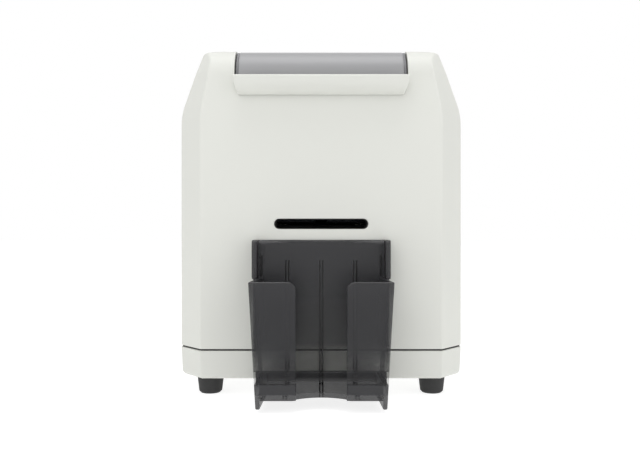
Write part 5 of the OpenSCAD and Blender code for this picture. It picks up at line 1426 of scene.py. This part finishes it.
class PRINTER_OT_bushes(bpy.types.Operator):
    """Flanged bushes of the roller shafts in both side plates."""
    bl_idname = "card_printer.bushes"
    bl_label = "Bushes"

    def execute(self, context):
        groups = []
        for r, bore, nodes in (
                (5.0, SHAFT_R + 0.06, ("exit_roller", "middle_roller", "platen_shaft",
                                       "entry_roller", "pick_roller")),
                (4.0, SHAFT_R - 0.74, ("exit_pinch_roller", "middle_pinch_roller",
                                       "entry_pinch_roller", "cleaning_roller"))):
            line = [(42.8, bore), (42.8, r + 1), (43.95, r + 1), (43.95, r), (46.3, r),
                    (46.3, bore)]
            bush = turned("bush", rounded(line, 0.2, 2), "x", (0, 0), closed=True)
            places = [((0, *axle(node)), (0, 0, turn)) for node in nodes for turn in (0, math.pi)]
            groups.append(repeated("bushes", bush, places, "core_cream"))
        fitted(union(*groups), "shaft_bushes")
        return {"FINISHED"}


# Parts that keep the construction's own form, with fine edges
SOFTENED = {
    "chassis_left": 0.15, "chassis_right": 0.15, "tie_bars": 0.15, "head_bracket": 0.15,
    "lid_magnets": 0.25, "lid_strikers": 0.15, "hinge_pins": 0.2, "transport_motor": 0.35,
    "ribbon_motor": 0.3, "feed_motor": 0.3, "exit_chute": 0.25, "card_guides": 0.12,
    "ribbon_cassette": 0.25, "hopper_chute": 0.25, "card_weight": 0.4, "inner_deck": 0.2,
    "lid_frame": 0.25,
}


class PRINTER_OT_inner(bpy.types.Operator):
    """Chassis plates, motors, guides and other inner parts, each with its fine edges."""
    bl_idname = "card_printer.inner"
    bl_label = "Inner parts"

    def execute(self, context):
        for node, width in SOFTENED.items():
            fitted(softened(copy_of(node, node + "_part"), width), node)
        return {"FINISHED"}


class PRINTER_OT_carried(bpy.types.Operator):
    """The joint strip, the film and the springs, which keep the construction's own mesh."""
    bl_idname = "card_printer.carried"
    bl_label = "Strip, film and springs"

    def execute(self, context):
        for name, part in frame["nodes"].items():
            if not part.hide_render:
                part.data.materials.clear()
                part.data.materials.append(finish_of(SLOT_OF[name]))
        return {"FINISHED"}


# Studio, in metres

LAMPS = {"key": ((-0.9, -1.5, 1.3), 6.8), "fill": ((1.3, -1.2, 0.9), 4.1),
         "top": ((0, -0.35, 1.8), 11.9)}
LAMP_SIZE, LAMP_TARGET = 1.2, Vector((0, 0, 0.1))
WHITE = (1, 1, 1, 1)


def seen_directly(tree):
    """1 for camera, glossy and transmission rays, which see the plain white background."""
    path = add_node(tree, "ShaderNodeLightPath").outputs
    either = add_node(tree, "ShaderNodeMath", {0: path["Is Camera Ray"], 1: path["Is Glossy Ray"]},
                      operation="MAXIMUM").outputs[0]
    return add_node(tree, "ShaderNodeMath", {0: either, 1: path["Is Transmission Ray"]},
                    operation="MAXIMUM").outputs[0]


def floor_paper():
    """Matt paper, brightly lit: plain white to the camera, and a pale sweep to the object."""
    paper = bpy.data.materials.new("floor_matt_paper")
    paper.use_nodes = True
    tree = paper.node_tree
    shader = tree.nodes["Principled BSDF"]
    shader.inputs["Base Color"].default_value = (0.38, 0.38, 0.38, 1)
    shader.inputs["Roughness"].default_value = 1.0
    shader.inputs["Specular IOR Level"].default_value = 0.0
    glow = add_node(tree, "ShaderNodeEmission", {"Color": WHITE, "Strength": 0.82})
    shown = add_node(tree, "ShaderNodeAddShader", {0: shader.outputs[0], 1: glow.outputs[0]})
    # What the object sees of the floor is paler, as a studio sweep lights it from below
    matt = add_node(tree, "ShaderNodeBsdfDiffuse", {"Color": (0.92, 0.92, 0.92, 1)})
    sweep = add_node(tree, "ShaderNodeEmission", {"Color": WHITE, "Strength": 0.3})
    bounce = add_node(tree, "ShaderNodeAddShader", {0: matt.outputs[0], 1: sweep.outputs[0]})
    final = add_node(tree, "ShaderNodeMixShader", {
        "Fac": seen_directly(tree), 1: bounce.outputs[0], 2: shown.outputs[0]})
    tree.links.new(final.outputs[0], tree.nodes["Material Output"].inputs["Surface"])
    return paper


def studio_world():
    """An even white room, which is brighter where it is seen directly."""
    world = bpy.data.worlds.new("studio")
    world.use_nodes = True
    tree = world.node_tree
    room = tree.nodes["Background"]
    room.inputs["Color"].default_value = WHITE
    room.inputs["Strength"].default_value = 0.52
    white = add_node(tree, "ShaderNodeBackground", {"Color": WHITE, "Strength": 1.0})
    both = add_node(tree, "ShaderNodeMixShader", {
        "Fac": seen_directly(tree), 1: room.outputs[0], 2: white.outputs[0]})
    tree.links.new(both.outputs[0], tree.nodes["World Output"].inputs["Surface"])
    return world


class PRINTER_OT_studio(bpy.types.Operator):
    """Pale floor, soft lamps, white background and the camera."""
    bl_idname = "card_printer.studio"
    bl_label = "Studio"

    def execute(self, context):
        scene = context.scene
        scene.view_settings.view_transform = "Standard"
        scene.world = studio_world()
        reach = 6.0
        mesh = bpy.data.meshes.new("floor")
        mesh.from_pydata([(-reach, -reach, 0), (reach, -reach, 0), (reach, reach, 0),
                          (-reach, reach, 0)], [], [(0, 1, 2, 3)])
        mesh.materials.append(floor_paper())
        linked("floor", mesh)

        for name, (place, power) in LAMPS.items():
            lamp = bpy.data.lights.new(name, "AREA")
            lamp.shape = "RECTANGLE"
            lamp.size = lamp.size_y = LAMP_SIZE
            lamp.energy = power
            light = linked(name, lamp)
            light.location = place
            aim = LAMP_TARGET - Vector(place)
            light.rotation_euler = aim.to_track_quat("-Z", "Y").to_euler()

        lens = bpy.data.cameras.new("camera")
        lens.lens = 40.376
        lens.sensor_width = 36.0
        lens.clip_start = 0.01
        camera = linked("camera", lens)
        camera.location = (-0.00074, -0.58675, 0.1035)
        camera.rotation_euler = (math.pi / 2, 0, 0)
        scene.camera = camera
        return {"FINISHED"}


PIECES = (PRINTER_OT_casing, PRINTER_OT_base, PRINTER_OT_lid, PRINTER_OT_tray, PRINTER_OT_feet,
          PRINTER_OT_screws, PRINTER_OT_door, PRINTER_OT_ports, PRINTER_OT_switch, PRINTER_OT_fan,
          PRINTER_OT_controls, PRINTER_OT_rollers, PRINTER_OT_belt, PRINTER_OT_ribbon,
          PRINTER_OT_head, PRINTER_OT_board, PRINTER_OT_bushes, PRINTER_OT_inner,
          PRINTER_OT_carried, PRINTER_OT_studio)


class PRINTER_PT_panel(bpy.types.Panel):
    """Lists the pieces, the stage, and the sizes and colours that they take."""
    bl_idname = "PRINTER_PT_panel"
    bl_label = "Card printer"
    bl_space_type = "VIEW_3D"
    bl_region_type = "UI"
    bl_category = "Card printer"

    def draw(self, context):
        for piece in PIECES:
            self.layout.operator(piece.bl_idname)
        for group in (context.scene.printer_sizes, context.scene.printer_colours):
            for name in group.__annotations__:
                self.layout.prop(group, name)


CLASSES = (PrinterSizes, PrinterColours) + PIECES + (PRINTER_PT_panel,)


def register():
    """Adds the classes, and the settings to the scene."""
    for item in CLASSES:
        bpy.utils.register_class(item)
    bpy.types.Scene.printer_sizes = PointerProperty(type=PrinterSizes)
    bpy.types.Scene.printer_colours = PointerProperty(type=PrinterColours)


def unregister():
    """Takes the settings and the classes away again."""
    del bpy.types.Scene.printer_colours
    del bpy.types.Scene.printer_sizes
    for item in reversed(CLASSES):
        bpy.utils.unregister_class(item)


def main():
    """Builds every piece and the stage."""
    register()
    for piece in PIECES:
        group, name = piece.bl_idname.split(".")
        getattr(getattr(bpy.ops, group), name)()


if __name__ == "__main__":
    main()
